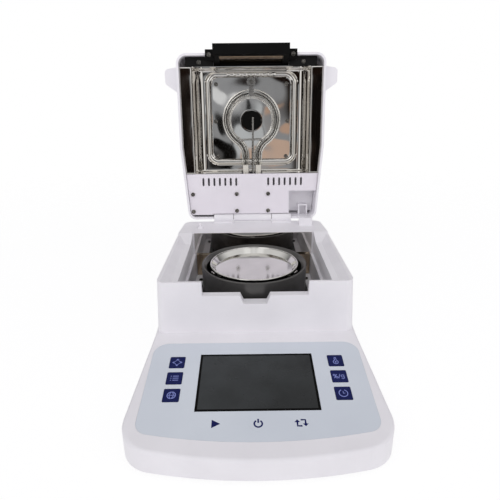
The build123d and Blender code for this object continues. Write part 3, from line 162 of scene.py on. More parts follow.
def surface(
    name,
    pale,
    deep,
    rough,
    metal=0.0,
    patch_mm=40.0,
    grain_mm=0.9,
    grain=0.1,
    depth_mm=0.05,
    stretch=(1.0, 1.0, 1.0),
    coat=0.0,
    buckle_mm=0.0,
    shine=0.4,
):
    """A finish with soft changes of tone, a range of gloss, a fine grain, and buckles if it has them."""
    material, tree, shader = new_material(name)
    vector = place(tree, stretch)
    tone = speckle(tree, place(tree), patch_mm)
    eased = ranged(tree, tone, *TONE_SPREAD, 0.0, 1.0)
    colour = blended(tree, eased, linear(pale), linear(deep))
    tree.links.new(colour, shader.inputs["Base Color"])
    fine = speckle(tree, vector, grain_mm)
    gloss = ranged(tree, speckle(tree, vector, patch_mm / 3), *GLOSS_SPREAD, *rough)
    tree.links.new(gloss, shader.inputs["Roughness"])
    shader.inputs["Metallic"].default_value = metal
    shader.inputs["Specular IOR Level"].default_value = METAL_SHINE if metal else shine
    shader.inputs["Coat Weight"].default_value = coat
    shader.inputs["Coat Roughness"].default_value = COAT_ROUGH
    raised(tree, shader, fine, grain, depth_mm)
    if buckle_mm:
        wide = add(tree, "ShaderNodeBump", {"Height": speckle(tree, place(tree), BUCKLE_SIZE_MM, 1.0)})
        wide.inputs["Distance"].default_value = buckle_mm * MM
        bump = shader.inputs["Normal"].links[0].from_node
        tree.links.new(wide.outputs["Normal"], bump.inputs["Normal"])
    return material


SILICA_INDEX, SMEAR_MM = 1.46, 18.0


def clear_glass(name, tint, rough):
    """Glass that lets light through, with its colour, its haze and the index of silica glass."""
    material, tree, shader = new_material(name)
    shader.inputs["Base Color"].default_value = linear(tint)
    shader.inputs["Transmission Weight"].default_value = 1.0
    shader.inputs["IOR"].default_value = SILICA_INDEX
    smear = speckle(tree, place(tree), SMEAR_MM)
    tree.links.new(ranged(tree, smear, *TONE_SPREAD, *rough), shader.inputs["Roughness"])
    return material


print("a middle grey as linear light:", round(linear("#808080")[0], 3))

# %% [markdown]
# The housings are injection moulded ABS in a warm white. ABS is a little glossy, and its mould is
# spark eroded, which leaves a fine even grain that breaks up the shine. The grain of the real
# moulding is about 0.15 mm; it is drawn at 0.8 mm here, as fine as the picture can still show. The
# keypad is one sheet of matt polyester, printed from behind, so its colours have almost no shine.

# %% Plastics
white_abs = surface("white_moulded_abs", "#F3F1F5", "#EDEBEF", (0.34, 0.46), grain_mm=0.8)
panel_abs = surface("lilac_white_abs", "#EEE9F0", "#E9E4EB", (0.36, 0.48), grain_mm=0.8)
black_nylon = surface("black_glass_filled_nylon", "#070707", "#0B0B0B", (0.3, 0.45), grain_mm=0.7, shine=0.12)
black_rubber = surface("black_moulded_rubber", "#171716", "#201F1E", (0.65, 0.8), grain_mm=1.2)
film = surface(
    "matt_polyester_film", "#DBE1E9", "#D4DAE3", (0.3, 0.38), patch_mm=70, grain_mm=0.5, shine=0.25
)
key_pad = surface("navy_printed_polyester", "#141D55", "#10184A", (0.28, 0.36), grain_mm=0.5, shine=0.1)
navy_ink = surface("navy_screen_ink", "#171F5E", "#131A50", (0.4, 0.5), grain_mm=0.5, shine=0.1)
pale_ink = surface("lilac_screen_ink", "#8F99D8", "#838DCE", (0.4, 0.5), grain_mm=0.5, shine=0.1)
print("housing:", white_abs.name, "keypad:", film.name)

# %% [markdown]
# The reflector and the chamber's back plates are bright annealed stainless steel, rolled so smooth
# that they mirror the room. A mirror without any flaw looks false, so faint roller marks along
# the sheet and a thin haze of wiped cleaning marks move its gloss up and down a little. Nor is thin
# sheet ever quite flat: a wide, shallow buckle of about 60 mm bends the room that it mirrors.

# %% Metals
ROLLED = (1.0, 1.0, 0.12)
bright_steel = surface(
    "bright_annealed_steel",
    "#DEDBD7",
    "#D4D1CC",
    (0.02, 0.06),
    1.0,
    60,
    2.5,
    0.03,
    0.02,
    ROLLED,
    buckle_mm=1.6,
)
warm_steel = surface(
    "heat_tinted_steel", "#B7A792", "#A39179", (0.06, 0.13), 1.0, 30, 2.0, 0.05, 0.02, ROLLED
)
satin_steel = surface("satin_steel", "#BDBBB8", "#A9A7A4", (0.2, 0.32), 1.0, 15, 0.6)
screw_steel = surface("nickel_plated_steel", "#C2BFB9", "#A8A49D", (0.16, 0.3), 1.0, 3, 0.4)
TURNED = (0.06, 0.06, 1.0)
ring_metal = surface(
    "dark_anodised_aluminium", "#62615F", "#555453", (0.3, 0.42), 0.8, 30, 0.35, 0.12, 0.05, TURNED
)
pan_metal = surface("pressed_aluminium", "#E2E1DE", "#D5D4D1", (0.07, 0.12), 1.0, 25, 0.7, 0.05)
cast_aluminium = surface("milled_aluminium", "#B9BBBD", "#A6A8AA", (0.3, 0.42), 1.0, 12, 0.6)
black_sheet = surface("black_painted_sheet", "#0B0B0B", "#100F0F", (0.35, 0.5), 0.0, 20, 0.6, shine=0.2)
brass = surface("nickelled_brass", "#CFC6A8", "#B9AD88", (0.2, 0.3), 1.0, 4, 0.5)
core_iron = surface("laminated_core_steel", "#5A5C60", "#43454A", (0.4, 0.55), 0.8, 6, 0.8)
tungsten = surface("drawn_tungsten_wire", "#6E6A64", "#57534E", (0.3, 0.45), 1.0, 4, 0.3)
print("mirrors:", bright_steel.name, warm_steel.name)

# %% [markdown]
# Glass lets light through, so its shader transmits, with silica's index of 1.46. The lamp's sockets
# are fired steatite, matt and a little warm, and a board is green where lacquer covers its copper.
# A colour alone would do for all of these at a distance, but the lamp stands open in front.

# %% Glass, ceramic and boards
display_black = surface("display_behind_glass", "#303335", "#282B2D", (0.2, 0.3), 0.0, 60, 0.8, 0.02)
ceramic = surface("white_steatite_ceramic", "#E9E5DC", "#DCD7CC", (0.4, 0.55), grain_mm=0.6)
board_green = surface("solder_masked_board", "#1E5B3A", "#174A2F", (0.3, 0.45), grain_mm=0.9)
cover_glass = surface(
    "matt_display_cover", "#3C3F41", "#262829", (0.24, 0.34), 0.0, 55, 0.4, 0.02, shine=0.2
)
mask_ink = surface("black_border_ink", "#040404", "#060606", (0.3, 0.4), grain_mm=0.5, shine=0.05)
brown_glass = clear_glass("brown_tinted_glass", "#8C7A66", (0.03, 0.06))
quartz = clear_glass("fused_quartz", "#FBFBFA", (0.0, 0.03))

FINISHES = {
    white_abs: "base_housing chamber_housing lid_shell bottom_tray hinge_knuckles lid_knuckle "
    "cable_guide_lower cable_guide_upper plunger_guide lid_switch_plunger chamber_floor",
    panel_abs: "lid_panel",
    bright_steel: "reflector back_plate_upper",
    warm_steel: "back_plate_lower",
    black_sheet: "ring_seat_plate lid_end_plate",
    black_nylon: "window_frame mains_inlet power_switch_body power_rocker thermal_cutout",
    screw_steel: "floor_screws lid_screws",
    ring_metal: "draft_ring",
    pan_metal: "sample_pan",
    satin_steel: "pan_support hinge_pin serial_port lamp_bracket lamp_wire_clip temperature_probe",
    cast_aluminium: "load_receiver load_cell load_cell_mount",
    film: "keypad_film key_start key_power key_tare",
    key_pad: "key_zero key_menu key_print key_heat key_unit key_time",
    cover_glass: "display_glass",
    display_black: "lcd_module",
    board_green: "main_board power_board",
    core_iron: "transformer",
    brass: "inlet_pins",
    quartz: "halogen_lamp",
    ceramic: "lamp_sockets",
    brown_glass: "window_glass",
    black_rubber: "foot_front_left foot_front_right foot_rear_left foot_rear_right",
}
for material, names in FINISHES.items():
    for name in names.split():
        mesh = NODES[name].data
        mesh.materials.clear()
        mesh.materials.append(material)
left_plain = set(NODES) - set(" ".join(FINISHES.values()).split())
print("materials:", len(FINISHES), "nodes left plain:", sorted(left_plain))

# %% [markdown]
# New pieces are worked out in two flat systems of millimetres. On the lid, x runs across, `along` runs
# from the hinge to the free end, and `inwards` points out of the open reflector. On the console, x runs
# across, `up` runs up the slope, and `proud` stands off it. Both are turned into metres at the end.

# %% Places on the lid and on the console
HINGE_AT, LEAN = np.array((0.0, 136.519, 109.5)), math.radians(5.4)
SLOPE_AT, SLOPE = np.array((0.0, -63.781, 47.0)), math.radians(9.4)
LID_AXES = np.array(
    (
        (1.0, 0.0, 0.0),
        (0.0, math.sin(LEAN), math.cos(LEAN)),
        (0.0, -math.cos(LEAN), math.sin(LEAN)),
    )
)
SLOPE_AXES = np.array(
    (
        (1.0, 0.0, 0.0),
        (0.0, math.cos(SLOPE), math.sin(SLOPE)),
        (0.0, -math.sin(SLOPE), math.cos(SLOPE)),
    )
)
UPRIGHT = (np.zeros(3), np.identity(3))
ON_LID, ON_SLOPE = (HINGE_AT, LID_AXES), (SLOPE_AT, SLOPE_AXES)
SHARP = math.radians(38.0)


def to_world(points, system):
    """Points of a flat system in millimetres as metres: the origin plus each length along its axis."""
    origin, axes = system
    return (origin + np.asarray(points) @ axes) * MM


def in_system(node, system):
    """A sized node's points, from metres back to a system's millimetres."""
    origin, axes = system
    flat = np.empty(3 * len(node.data.vertices))
    node.data.vertices.foreach_get("co", flat)
    turned = np.array(node.matrix_world)
    world = flat.reshape(-1, 3) @ turned[:3, :3].T + turned[:3, 3]
    return (world / MM - origin) @ axes.T


def lumps(node):
    """Which separate lump each point of a node is in: neighbours keep taking their lowest number."""
    mesh = node.data
    ends = np.empty(2 * len(mesh.edges), dtype=np.int64)
    mesh.edges.foreach_get("vertices", ends)
    first, second = ends.reshape(-1, 2).T
    label = np.arange(len(mesh.vertices))
    while True:
        low = np.minimum(label[first], label[second])
        eased = label.copy()
        np.minimum.at(eased, first, low)
        np.minimum.at(eased, second, low)
        eased = eased[eased]
        if np.array_equal(eased, label):
            return label
        label = eased


def hang(name, points, faces, material, body, stands_for=(), smooth=True):
    """A mesh at the origin, in metres, hung on a body, with the finish that it takes."""
    mesh = bpy.data.meshes.new(name)
    mesh.from_pydata(points.tolist(), [], faces)
    mesh.polygons.foreach_set("use_smooth", np.full(len(mesh.polygons), smooth))
    mesh.set_sharp_from_angle(angle=SHARP)
    mesh.materials.append(material)
    thing = bpy.data.objects.new(name, mesh)
    bpy.context.scene.collection.objects.link(thing)
    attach(thing, body)
    if stands_for:
        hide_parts(*stands_for)
    return thing


def joined(shapes):
    """Several (points, faces) as one, each one's numbers moved on by the points before it."""
    points, faces, start = [], [], 0
    for some, loops in shapes:
        points.append(some)
        faces += [[start + n for n in loop] for loop in loops]
        start += len(some)
    return np.vstack(points), faces


def grid_faces(rows, sides, wrap_rows=False):
    """The squares of a grid whose sides close round, and whose rows close too if they are asked to."""
    last = rows if wrap_rows else rows - 1
    row, side = np.meshgrid(np.arange(last), np.arange(sides), indexing="ij")
    ahead, next_side = (row + 1) % rows, (side + 1) % sides
    corners = (
        row * sides + side,
        row * sides + next_side,
        ahead * sides + next_side,
        ahead * sides + side,
    )
    return np.stack(corners, axis=-1).reshape(-1, 4).tolist()


def tube(centres, first, radius, sides):
    """A round bar: centre + radius * (cos t * first + sin t * second), with second = ahead x first."""
    ahead = np.gradient(centres, axis=0)
    ahead /= np.linalg.norm(ahead, axis=1)[:, None]
    second = np.cross(ahead, first)
    second /= np.linalg.norm(second, axis=1)[:, None]
    turn = np.linspace(0, 2 * np.pi, sides + 1)[:-1]
    rims = np.cos(turn)[None, :, None] * first[:, None] + np.sin(turn)[None, :, None] * second[:, None]
    points = centres[:, None] + radius * rims
    ends = [list(range(sides))[::-1], list(range((len(centres) - 1) * sides, len(centres) * sides))]
    return points.reshape(-1, 3), grid_faces(len(centres), sides) + ends


def rounded_line(corners, radii, step):
    """A line through corners, each inner one replaced by an arc that starts r tan(a / 2) before it."""
    corners = np.asarray(corners, dtype=float)
    knots = [corners[0]]
    for before, corner, after, radius in zip(corners, corners[1:], corners[2:], radii):
        come = (corner - before) / np.linalg.norm(corner - before)
        go = (after - corner) / np.linalg.norm(after - corner)
        turn = math.acos(np.clip(come @ go, -1, 1))
        start = corner - come * radius * math.tan(turn / 2)
        inward = go - come * (come @ go)
        inward /= np.linalg.norm(inward)
        for angle in np.linspace(0, turn, 9):
            knots.append(start + radius * (come * math.sin(angle) + inward * (1 - math.cos(angle))))
    knots = np.array(knots + [corners[-1]])
    run = np.append(0, np.cumsum(np.linalg.norm(np.diff(knots, axis=0), axis=1)))
    even = np.linspace(0, run[-1], int(run[-1] / step) + 1)
    return np.stack([np.interp(even, run, knots[:, n]) for n in range(2)], axis=1)


def turned(profile, sides=128):
    """A closed profile of (r, z) points carried round the upright axis: (r cos t, r sin t, z)."""
    turn = np.linspace(0, 2 * np.pi, sides + 1)[None, :-1]
    r, z = np.asarray(profile, dtype=float).T[:, :, None]
    points = np.stack([r * np.cos(turn), r * np.sin(turn), z + 0 * turn], axis=-1)
    return points.reshape(-1, 3), grid_faces(len(profile), sides, wrap_rows=True)


print("lumps in the lid's screws:", len(set(lumps(NODES["lid_screws"]).tolist())))

# %% [markdown]
# The reflector is one bright sheet, folded along both sides and pressed with a half-round bead, and
# what makes it look real is where its curves send the light: each bend turns a whole room into one
# thin bright line. So the sheet is one smooth surface, w(s, t): its section w(s) across the lid, with
# rounded folds and a flange that widens to the shell, times a share q(t) that lifts it to the mouth
# at both ends, plus the bead's height.
# The bead is a circle's arc over the distance to a rounded rectangle. A boolean ridge would be quicker,
# but it would meet the floor in a hard line that a pressed sheet never has.

# %% Reflector
MOUTH_IN, FLOOR_IN, SHEET = -3.0, -26.2, 0.8
SECTION = ((0.0, FLOOR_IN), (70.4, FLOOR_IN), (76.8, -3.4), (92.3, -3.4))
FOLD_R, RIM_R, SECTION_STEP = 9.0, 2.5, 1.0
FLANGE_X, EDGE_LOW, EDGE_HIGH, EDGE_GROWTH = 76.8, 89.5, 92.3, 0.08
LOW_END, HIGH_END, END_LEAN, END_R, END_STEP = 61.0, 195.8, 1.0, 2.5, 0.85
BEAD_HALF, BEAD_LOW, BEAD_TOP, BEAD_R = 57.8, 74.8, 189.6, 12.0
BEAD_WIDTH, BEAD_HEIGHT = 7.6, 2.6
HOLE_AT, HOLE_R, COLLAR_WIDTH, COLLAR_HEIGHT = 130.0, 13.2, 1.6, 0.12
MOUTH_HALF, MOUTH_END, MOUTH_FLOOR = 14.1, 63.0, -21.0
LOUVRES, LOUVRE_PITCH, LOUVRE_HALF, LOUVRE_WIDTH, LOUVRE_HEIGHT = 8, 8.6, 2.4, 0.9, 0.6


def bead_height(x, along):
    """A circle's arc over d, the distance to a rounded rectangle: sqrt(b^2 - d^2) - (b - h)."""
    bow = (BEAD_WIDTH**2 / 4 + BEAD_HEIGHT**2) / (2 * BEAD_HEIGHT)
    middle, half = (BEAD_LOW + BEAD_TOP) / 2, (BEAD_TOP - BEAD_LOW) / 2
    over_x = abs(x) - (BEAD_HALF - BEAD_R)
    over_v = abs(along - middle) - (half - BEAD_R)
    outside = np.hypot(np.maximum(over_x, 0), np.maximum(over_v, 0))
    distance = outside + np.minimum(np.maximum(over_x, over_v), 0) - BEAD_R
    return np.maximum(np.sqrt(np.maximum(bow**2 - distance**2, 0)) - (bow - BEAD_HEIGHT), 0)


def pressed_detail(x, along):
    """The bead, a soft collar round the hole, and a row of small half-round louvres on the bead."""
    height = bead_height(x, along)
    from_hole = (np.hypot(x, along - HOLE_AT) - HOLE_R) / COLLAR_WIDTH
    height = height + COLLAR_HEIGHT * np.clip(1 - from_hole, 0, 1) ** 2
    for number in range(LOUVRES):
        across = (x - (number - (LOUVRES - 1) / 2) * LOUVRE_PITCH) / LOUVRE_HALF
        up = (along - BEAD_TOP) / LOUVRE_WIDTH
        height = height + LOUVRE_HEIGHT * np.sqrt(np.clip(1 - across**2 - up**2, 0, 1))
    return height


def sheet_solid(front, back, faces):
    """A sheet of two skins, with a wall along each edge that has a face on one side only."""
    faces = np.asarray(faces)
    count = len(front)
    starts, ends = faces.reshape(-1), np.roll(faces, -1, axis=1).reshape(-1)
    bare = ~np.isin(starts * count + ends, ends * count + starts)
    a, b = starts[bare], ends[bare]
    walls = np.stack([b, a, a + count, b + count], axis=1)
    whole = np.vstack([faces, faces[:, ::-1] + count, walls])
    used, number = np.unique(whole, return_inverse=True)
    return np.vstack([front, back])[used], number.reshape(whole.shape).tolist()


def reflector_sheet():
    """The surface (x(s), v(t), mouth + (w(s) - mouth) q(t) + detail), given the sheet's thickness."""
    half = rounded_line(SECTION, (FOLD_R, RIM_R), SECTION_STEP)
    across = np.vstack([half[::-1] * (-1, 1), half[1:]])
    depth = MOUTH_IN - FLOOR_IN
    ends = ((LOW_END, 0), (LOW_END + END_LEAN, depth), (HIGH_END - END_LEAN, depth), (HIGH_END, 0))
    down = rounded_line(ends, (END_R, END_R), END_STEP)
    x = np.repeat(across[None, :, 0], len(down), axis=0)
    along = np.repeat(down[:, :1], len(across), axis=1)
    edge = np.minimum(EDGE_HIGH, EDGE_LOW + EDGE_GROWTH * (along - LOW_END))
    outward = np.clip((abs(x) - FLANGE_X) / (EDGE_HIGH - FLANGE_X), 0, 1)
    x = x + np.sign(x) * (edge - EDGE_HIGH) * outward
    rows, sides = x.shape
    number = np.arange(rows * sides).reshape(rows, sides)
    corners = (number[:-1, :-1], number[:-1, 1:], number[1:, 1:], number[1:, :-1])
    cells = np.stack(corners, axis=-1).reshape(-1, 4)
    flat = np.stack([x.reshape(-1), along.reshape(-1)], axis=1)
    inwards = (MOUTH_IN + (across[None, :, 1] - MOUTH_IN) * down[:, 1:] / depth).reshape(-1)
    off = np.linalg.norm(flat[cells].mean(axis=1) - (0.0, HOLE_AT), axis=1)
    mean_x, mean_v = flat[cells].mean(axis=1).T
    mouth = (abs(mean_x) < MOUTH_HALF) & (mean_v < MOUTH_END) & (inwards[cells].mean(axis=1) > MOUTH_FLOOR)
    kept, cut = cells[(off > HOLE_R) & ~mouth], cells[off <= HOLE_R]
    brink = np.intersect1d(kept, cut)
    away = flat[brink] - (0.0, HOLE_AT)
    flat[brink] = (0.0, HOLE_AT) + away * (HOLE_R / np.linalg.norm(away, axis=1))[:, None]
    inwards = inwards + pressed_detail(*flat.T) * np.repeat(down[:, 1] / depth, sides)
    front = np.column_stack([flat, inwards])
    grid = front.reshape(rows, sides, 3)
    facing = np.cross(np.gradient(grid, axis=1), np.gradient(grid, axis=0)).reshape(-1, 3)
    facing /= np.linalg.norm(facing, axis=1)[:, None]
    return sheet_solid(front, front - SHEET * facing, kept)


points, faces = reflector_sheet()
places = to_world(points, ON_LID)
mirror = hang("reflector_sheet", places, faces, bright_steel, "lid", ["reflector"])
print("reflector faces:", len(mirror.data.polygons))

# %% [markdown]
# The draught ring is turned from a thick aluminium tube and anodised dark. Its lip slopes down
# inwards, so that the pan's rim finds its place. A turned piece is its section carried round an axis,
# which gives an even wall and a clean edge that no scaled cylinder has.

# %% Draught ring
PAN_AXIS_Y, RING_SIDES = 12.119, 160
RING_PROFILE = (
    (59.15, 63.0),
    (59.15, 92.9),
    (58.55, 93.5),
    (57.2, 93.5),
    (53.7, 89.8),
    (53.7, 88.5),
    (56.75, 91.6),
    (56.75, 63.0),
)
points, faces = turned(RING_PROFILE, RING_SIDES)
ring_piece = hang(
    "draught_ring_turned",
    (points + (0, PAN_AXIS_Y, 0)) * MM,
    faces,
    ring_metal,
    "ring",
    ["draft_ring"],
)
print("ring faces:", len(ring_piece.data.polygons))

# %% [markdown]
# The lamp is a clear quartz tube with a coiled tungsten wire down its middle, so it can't be a solid
# bar of glass: a hollow tube shows two bright edges and lets the reflector shine through between
# them. Its centre line is the sized lamp's own: a leg, an easing arc, the ring, and back again.

# %% Lamp
LAMP_AT, LAMP_R, LAMP_IN, LEG_X, LEG_LOW = 131.0, 33.6, -14.0, 8.6, 71.5
TUBE_R, BORE_R, MEET = 5.4, 4.3, math.radians(55.0)
COIL_R, COIL_PITCH, WIRE_R, COIL_STEPS = 1.3, 1.15, 0.2, 10
SUPPORT_COUNT, SUPPORT_TURNS, SUPPORT_START, SUPPORT_SPAN = 8, 1.75, 0.2, 0.6
LEG_STEPS, RING_STEPS_HALF, TUBE_SIDES, TUBE_STEP, WIRE_SIDES, SPIRAL_STEPS = 60, 240, 40, 1.6, 5, 72


def lamp_line(step_mm):
    """The lamp's centre line: straight legs, arcs of radius (meet - leg) / (1 - cos a), then a circle."""
    meet_x, meet_v = LAMP_R * math.cos(MEET), LAMP_AT - LAMP_R * math.sin(MEET)
    ease = (meet_x - LEG_X) / (1 - math.cos(MEET))
    leg_top = meet_v - ease * math.sin(MEET)
    leg = np.linspace(LEG_LOW, leg_top, LEG_STEPS)
    bend = np.linspace(0, MEET, LEG_STEPS)[1:]
    half = np.linspace(-MEET, math.pi / 2, RING_STEPS_HALF)[1:]
    x = np.concatenate([0 * leg + LEG_X, LEG_X + ease * (1 - np.cos(bend)), LAMP_R * np.cos(half)])
    v = np.concatenate([leg, leg_top + ease * np.sin(bend), LAMP_AT + LAMP_R * np.sin(half)])
    line = np.stack([np.append(x, -x[-2::-1]), np.append(v, v[-2::-1])], axis=1)
    run = np.append(0, np.cumsum(np.linalg.norm(np.diff(line, axis=0), axis=1)))
    even = np.linspace(0, run[-1], int(run[-1] / step_mm) + 1)
    flat = [np.interp(even, run, line[:, 0]), np.interp(even, run, line[:, 1]), 0 * even + LAMP_IN]
    return np.stack(flat, axis=1), even


def across_line(line):
    """The direction in the lamp's plane that is square to its line."""
    ahead = np.gradient(line, axis=0)
    side = np.stack([-ahead[:, 1], ahead[:, 0], 0 * ahead[:, 0]], axis=1)
    return side / np.linalg.norm(side, axis=1)[:, None]


def quartz_tube():
    """A hollow tube: the outer wall's rings one way, then the bore's rings back, closed in both ways."""
    line, _ = lamp_line(TUBE_STEP)
    side = across_line(line)
    outer, _ = tube(line, side, TUBE_R, TUBE_SIDES)
    bore, _ = tube(line, side, BORE_R, TUBE_SIDES)
    rows = len(line)
    bore = bore.reshape(rows, TUBE_SIDES, 3)[::-1].reshape(-1, 3)
    return np.vstack([outer, bore]), grid_faces(2 * rows, TUBE_SIDES, wrap_rows=True)


def coiled_wire():
    """A helix round the lamp's line: line + r * (cos p * side + sin p * inwards), p = 2 pi s / pitch."""
    line, run = lamp_line(COIL_PITCH / COIL_STEPS)
    side = across_line(line)
    phase = (2 * np.pi * run / COIL_PITCH)[:, None]
    rim = np.cos(phase) * side + np.sin(phase) * np.array((0.0, 0.0, 1.0))
    return tube(line + COIL_R * rim, rim, WIRE_R, WIRE_SIDES)


def wire_supports():
    """Flat spirals that keep the coil centred: the radius grows evenly from the coil to the bore."""
    line, _ = lamp_line(1.0)
    side = across_line(line)
    shapes = []
    for number in range(SUPPORT_COUNT):
        share = (number + 0.5) / SUPPORT_COUNT
        at = int(len(line) * (SUPPORT_START + SUPPORT_SPAN * share))
        turn = np.linspace(0, 2 * np.pi * SUPPORT_TURNS, SPIRAL_STEPS)[:, None]
        rim = np.cos(turn) * side[at] + np.sin(turn) * np.array((0.0, 0.0, 1.0))
        growing = np.linspace(COIL_R + WIRE_R, BORE_R - WIRE_R, SPIRAL_STEPS)[:, None]
        ahead = np.cross(side[at], (0.0, 0.0, 1.0))
        upright = np.tile(ahead, (SPIRAL_STEPS, 1))
        shapes.append(tube(line[at] + growing * rim, upright, WIRE_R, WIRE_SIDES))
    return joined(shapes)


points, faces = quartz_tube()
places = to_world(points, ON_LID)
lamp_glass = hang("lamp_quartz_tube", places, faces, quartz, "lid", ["halogen_lamp"])
points, faces = coiled_wire()
hang("lamp_filament", to_world(points, ON_LID), faces, tungsten, "lid")
points, faces = wire_supports()
hang("lamp_wire_supports", to_world(points, ON_LID), faces, tungsten, "lid")
print("lamp tube faces:", len(lamp_glass.data.polygons))

# %% [markdown]
# A plain disc for a screw head gives a model away. Each screw here stands exactly where the sized
# model has one, but it gets a domed head with the cross-shaped recess that a driver fits.

# %% Screws
DOME_STEPS, TURN_STEPS, DOME_START, DOME_POWER = 15, 56, 0.04, 0.6
ARM_HALF, ARM_LONG, ARM_FADE, RECESS_DEPTH = 0.12, 0.62, 0.1, 0.5


def crossed_head(radius, height):
    """A pan head. Its profile is r = R sin(a)^0.6, z = H cos(a)^0.6, less a cross-shaped recess.

    The recess has arms 0.24 R wide and 0.62 R long; its depth fades in over 0.1 R at its edges.
    """
    bend = np.linspace(DOME_START, np.pi / 2, DOME_STEPS)[:, None]
    turn = np.linspace(0, 2 * np.pi, TURN_STEPS + 1)[None, :-1]
    r, z = radius * np.sin(bend) ** DOME_POWER, height * np.cos(bend) ** DOME_POWER
    x, y = r * np.cos(turn), r * np.sin(turn)
    z = np.repeat(z, TURN_STEPS, axis=1)
    wide = np.minimum(abs(x), abs(y)) - ARM_HALF * radius
    long = np.maximum(abs(x), abs(y)) - ARM_LONG * radius
    depth = np.clip(0.5 - np.maximum(wide, long) / (ARM_FADE * radius), 0, 1)
    z = z - RECESS_DEPTH * height * depth
    points = np.stack([x, y, z], axis=-1)[::-1].reshape(-1, 3)
    last = (DOME_STEPS - 1) * TURN_STEPS
    ends = [list(range(TURN_STEPS))[::-1], list(range(last, last + TURN_STEPS))]
    return points, grid_faces(DOME_STEPS, TURN_STEPS) + ends


def crossed_screws(node_name, system):
    """A crossed head for every lump of a node, on its middle and turned by its own chance angle."""
    chance = np.random.default_rng(7)
    places, label = in_system(NODES[node_name], system), lumps(NODES[node_name])
    shapes = []
    for number in np.unique(label):
        own = places[label == number]
        low, high = own.min(axis=0), own.max(axis=0)
        points, faces = crossed_head((high[0] - low[0]) / 2, high[2] - low[2])
        angle = chance.uniform(0, np.pi / 2)
        rotation = np.array(((math.cos(angle), math.sin(angle)), (-math.sin(angle), math.cos(angle))))
        points[:, :2] = points[:, :2] @ rotation
        middle = np.array(((high[0] + low[0]) / 2, (high[1] + low[1]) / 2, low[2]))
        shapes.append((points + middle, faces))
    return joined(shapes)


for node_name, system, body in (("lid_screws", ON_LID, "lid"), ("floor_screws", UPRIGHT, "base")):
    points, faces = crossed_screws(node_name, system)
    places = to_world(points, system)
    heads = hang(node_name + "_crossed", places, faces, screw_steel, body, [node_name])
    print(heads.name, len(heads.data.polygons))

# %% [markdown]
# The keys carry small printed pictures: no words, only the signs that such instruments share. Ink is
# laid on as a film a few hundredths of a millimetre thick, so each line is a flat bar of that height.
# A picture file could be used instead, but it would blur close up and wouldn't move with its key.
# Start, power and tare are parts of the pale film itself, so each of their tops is a thin disc that
# lies a hundredth of a millimetre proud of the film, with its sign in navy ink on it.

# %% Printed signs
INK_LOW, INK_HIGH, LINE, THIN, HEAVY, ARROW_HALF = 0.15, 0.2, 0.75, 0.6, 1.35, 0.9


def bar(points, width, closed=False, low=INK_LOW, high=INK_HIGH):
    """A flat bar: a rectangle swept along points, square to the mean of its two directions."""
    path = np.asarray(points, dtype=float)
    if closed:
        ahead = np.roll(path, -1, axis=0) - np.roll(path, 1, axis=0)
    else:
        ahead = np.gradient(path, axis=0)
    ahead /= np.linalg.norm(ahead, axis=1)[:, None]
    side = np.stack([-ahead[:, 1], ahead[:, 0]], axis=1) * width / 2
    levels = ((path - side, low), (path - side, high), (path + side, high), (path + side, low))
    rows = [np.column_stack([flat, np.full(len(path), level)]) for flat, level in levels]
    faces = grid_faces(len(path), 4, wrap_rows=closed)
    if not closed:
        last = 4 * (len(path) - 1)
        faces += [[3, 2, 1, 0], [last, last + 1, last + 2, last + 3]]
    return np.stack(rows, axis=1).reshape(-1, 3), [face[::-1] for face in faces]


def patch(corners, low=INK_LOW, high=INK_HIGH):
    """A flat patch with straight edges, its corners given anticlockwise."""
    flat = np.asarray(corners, dtype=float)
    count = len(flat)
    low = np.column_stack([flat, np.full(count, low)])
    high = np.column_stack([flat, np.full(count, high)])
    walls = [[n, (n + 1) % count, count + (n + 1) % count, count + n] for n in range(count)]
    return np.vstack([low, high]), [list(range(count))[::-1], list(range(count, 2 * count))] + walls


def arc(x, y, radius, start, end, steps=28):
    """Points on a circle between two angles in degrees: x + r cos a, y + r sin a."""
    turn = np.radians(np.linspace(start, end, steps))
    return np.stack([x + radius * np.cos(turn), y + radius * np.sin(turn)], axis=1)


def ring(x, y, radius, width=LINE):
    """A closed circle of ink."""
    return bar(arc(x, y, radius, 0, 360, 33)[:-1], width, closed=True)


def arrow(x, y, angle, size):
    """A three-cornered patch that points along an angle in degrees."""
    turn = math.radians(angle)
    ahead, side = np.array((math.cos(turn), math.sin(turn))), np.array((-math.sin(turn), math.cos(turn)))
    tip = np.array((x, y)) + size * ahead
    half = ARROW_HALF * size * side
    return patch([tip, np.array((x, y)) + half, np.array((x, y)) - half])


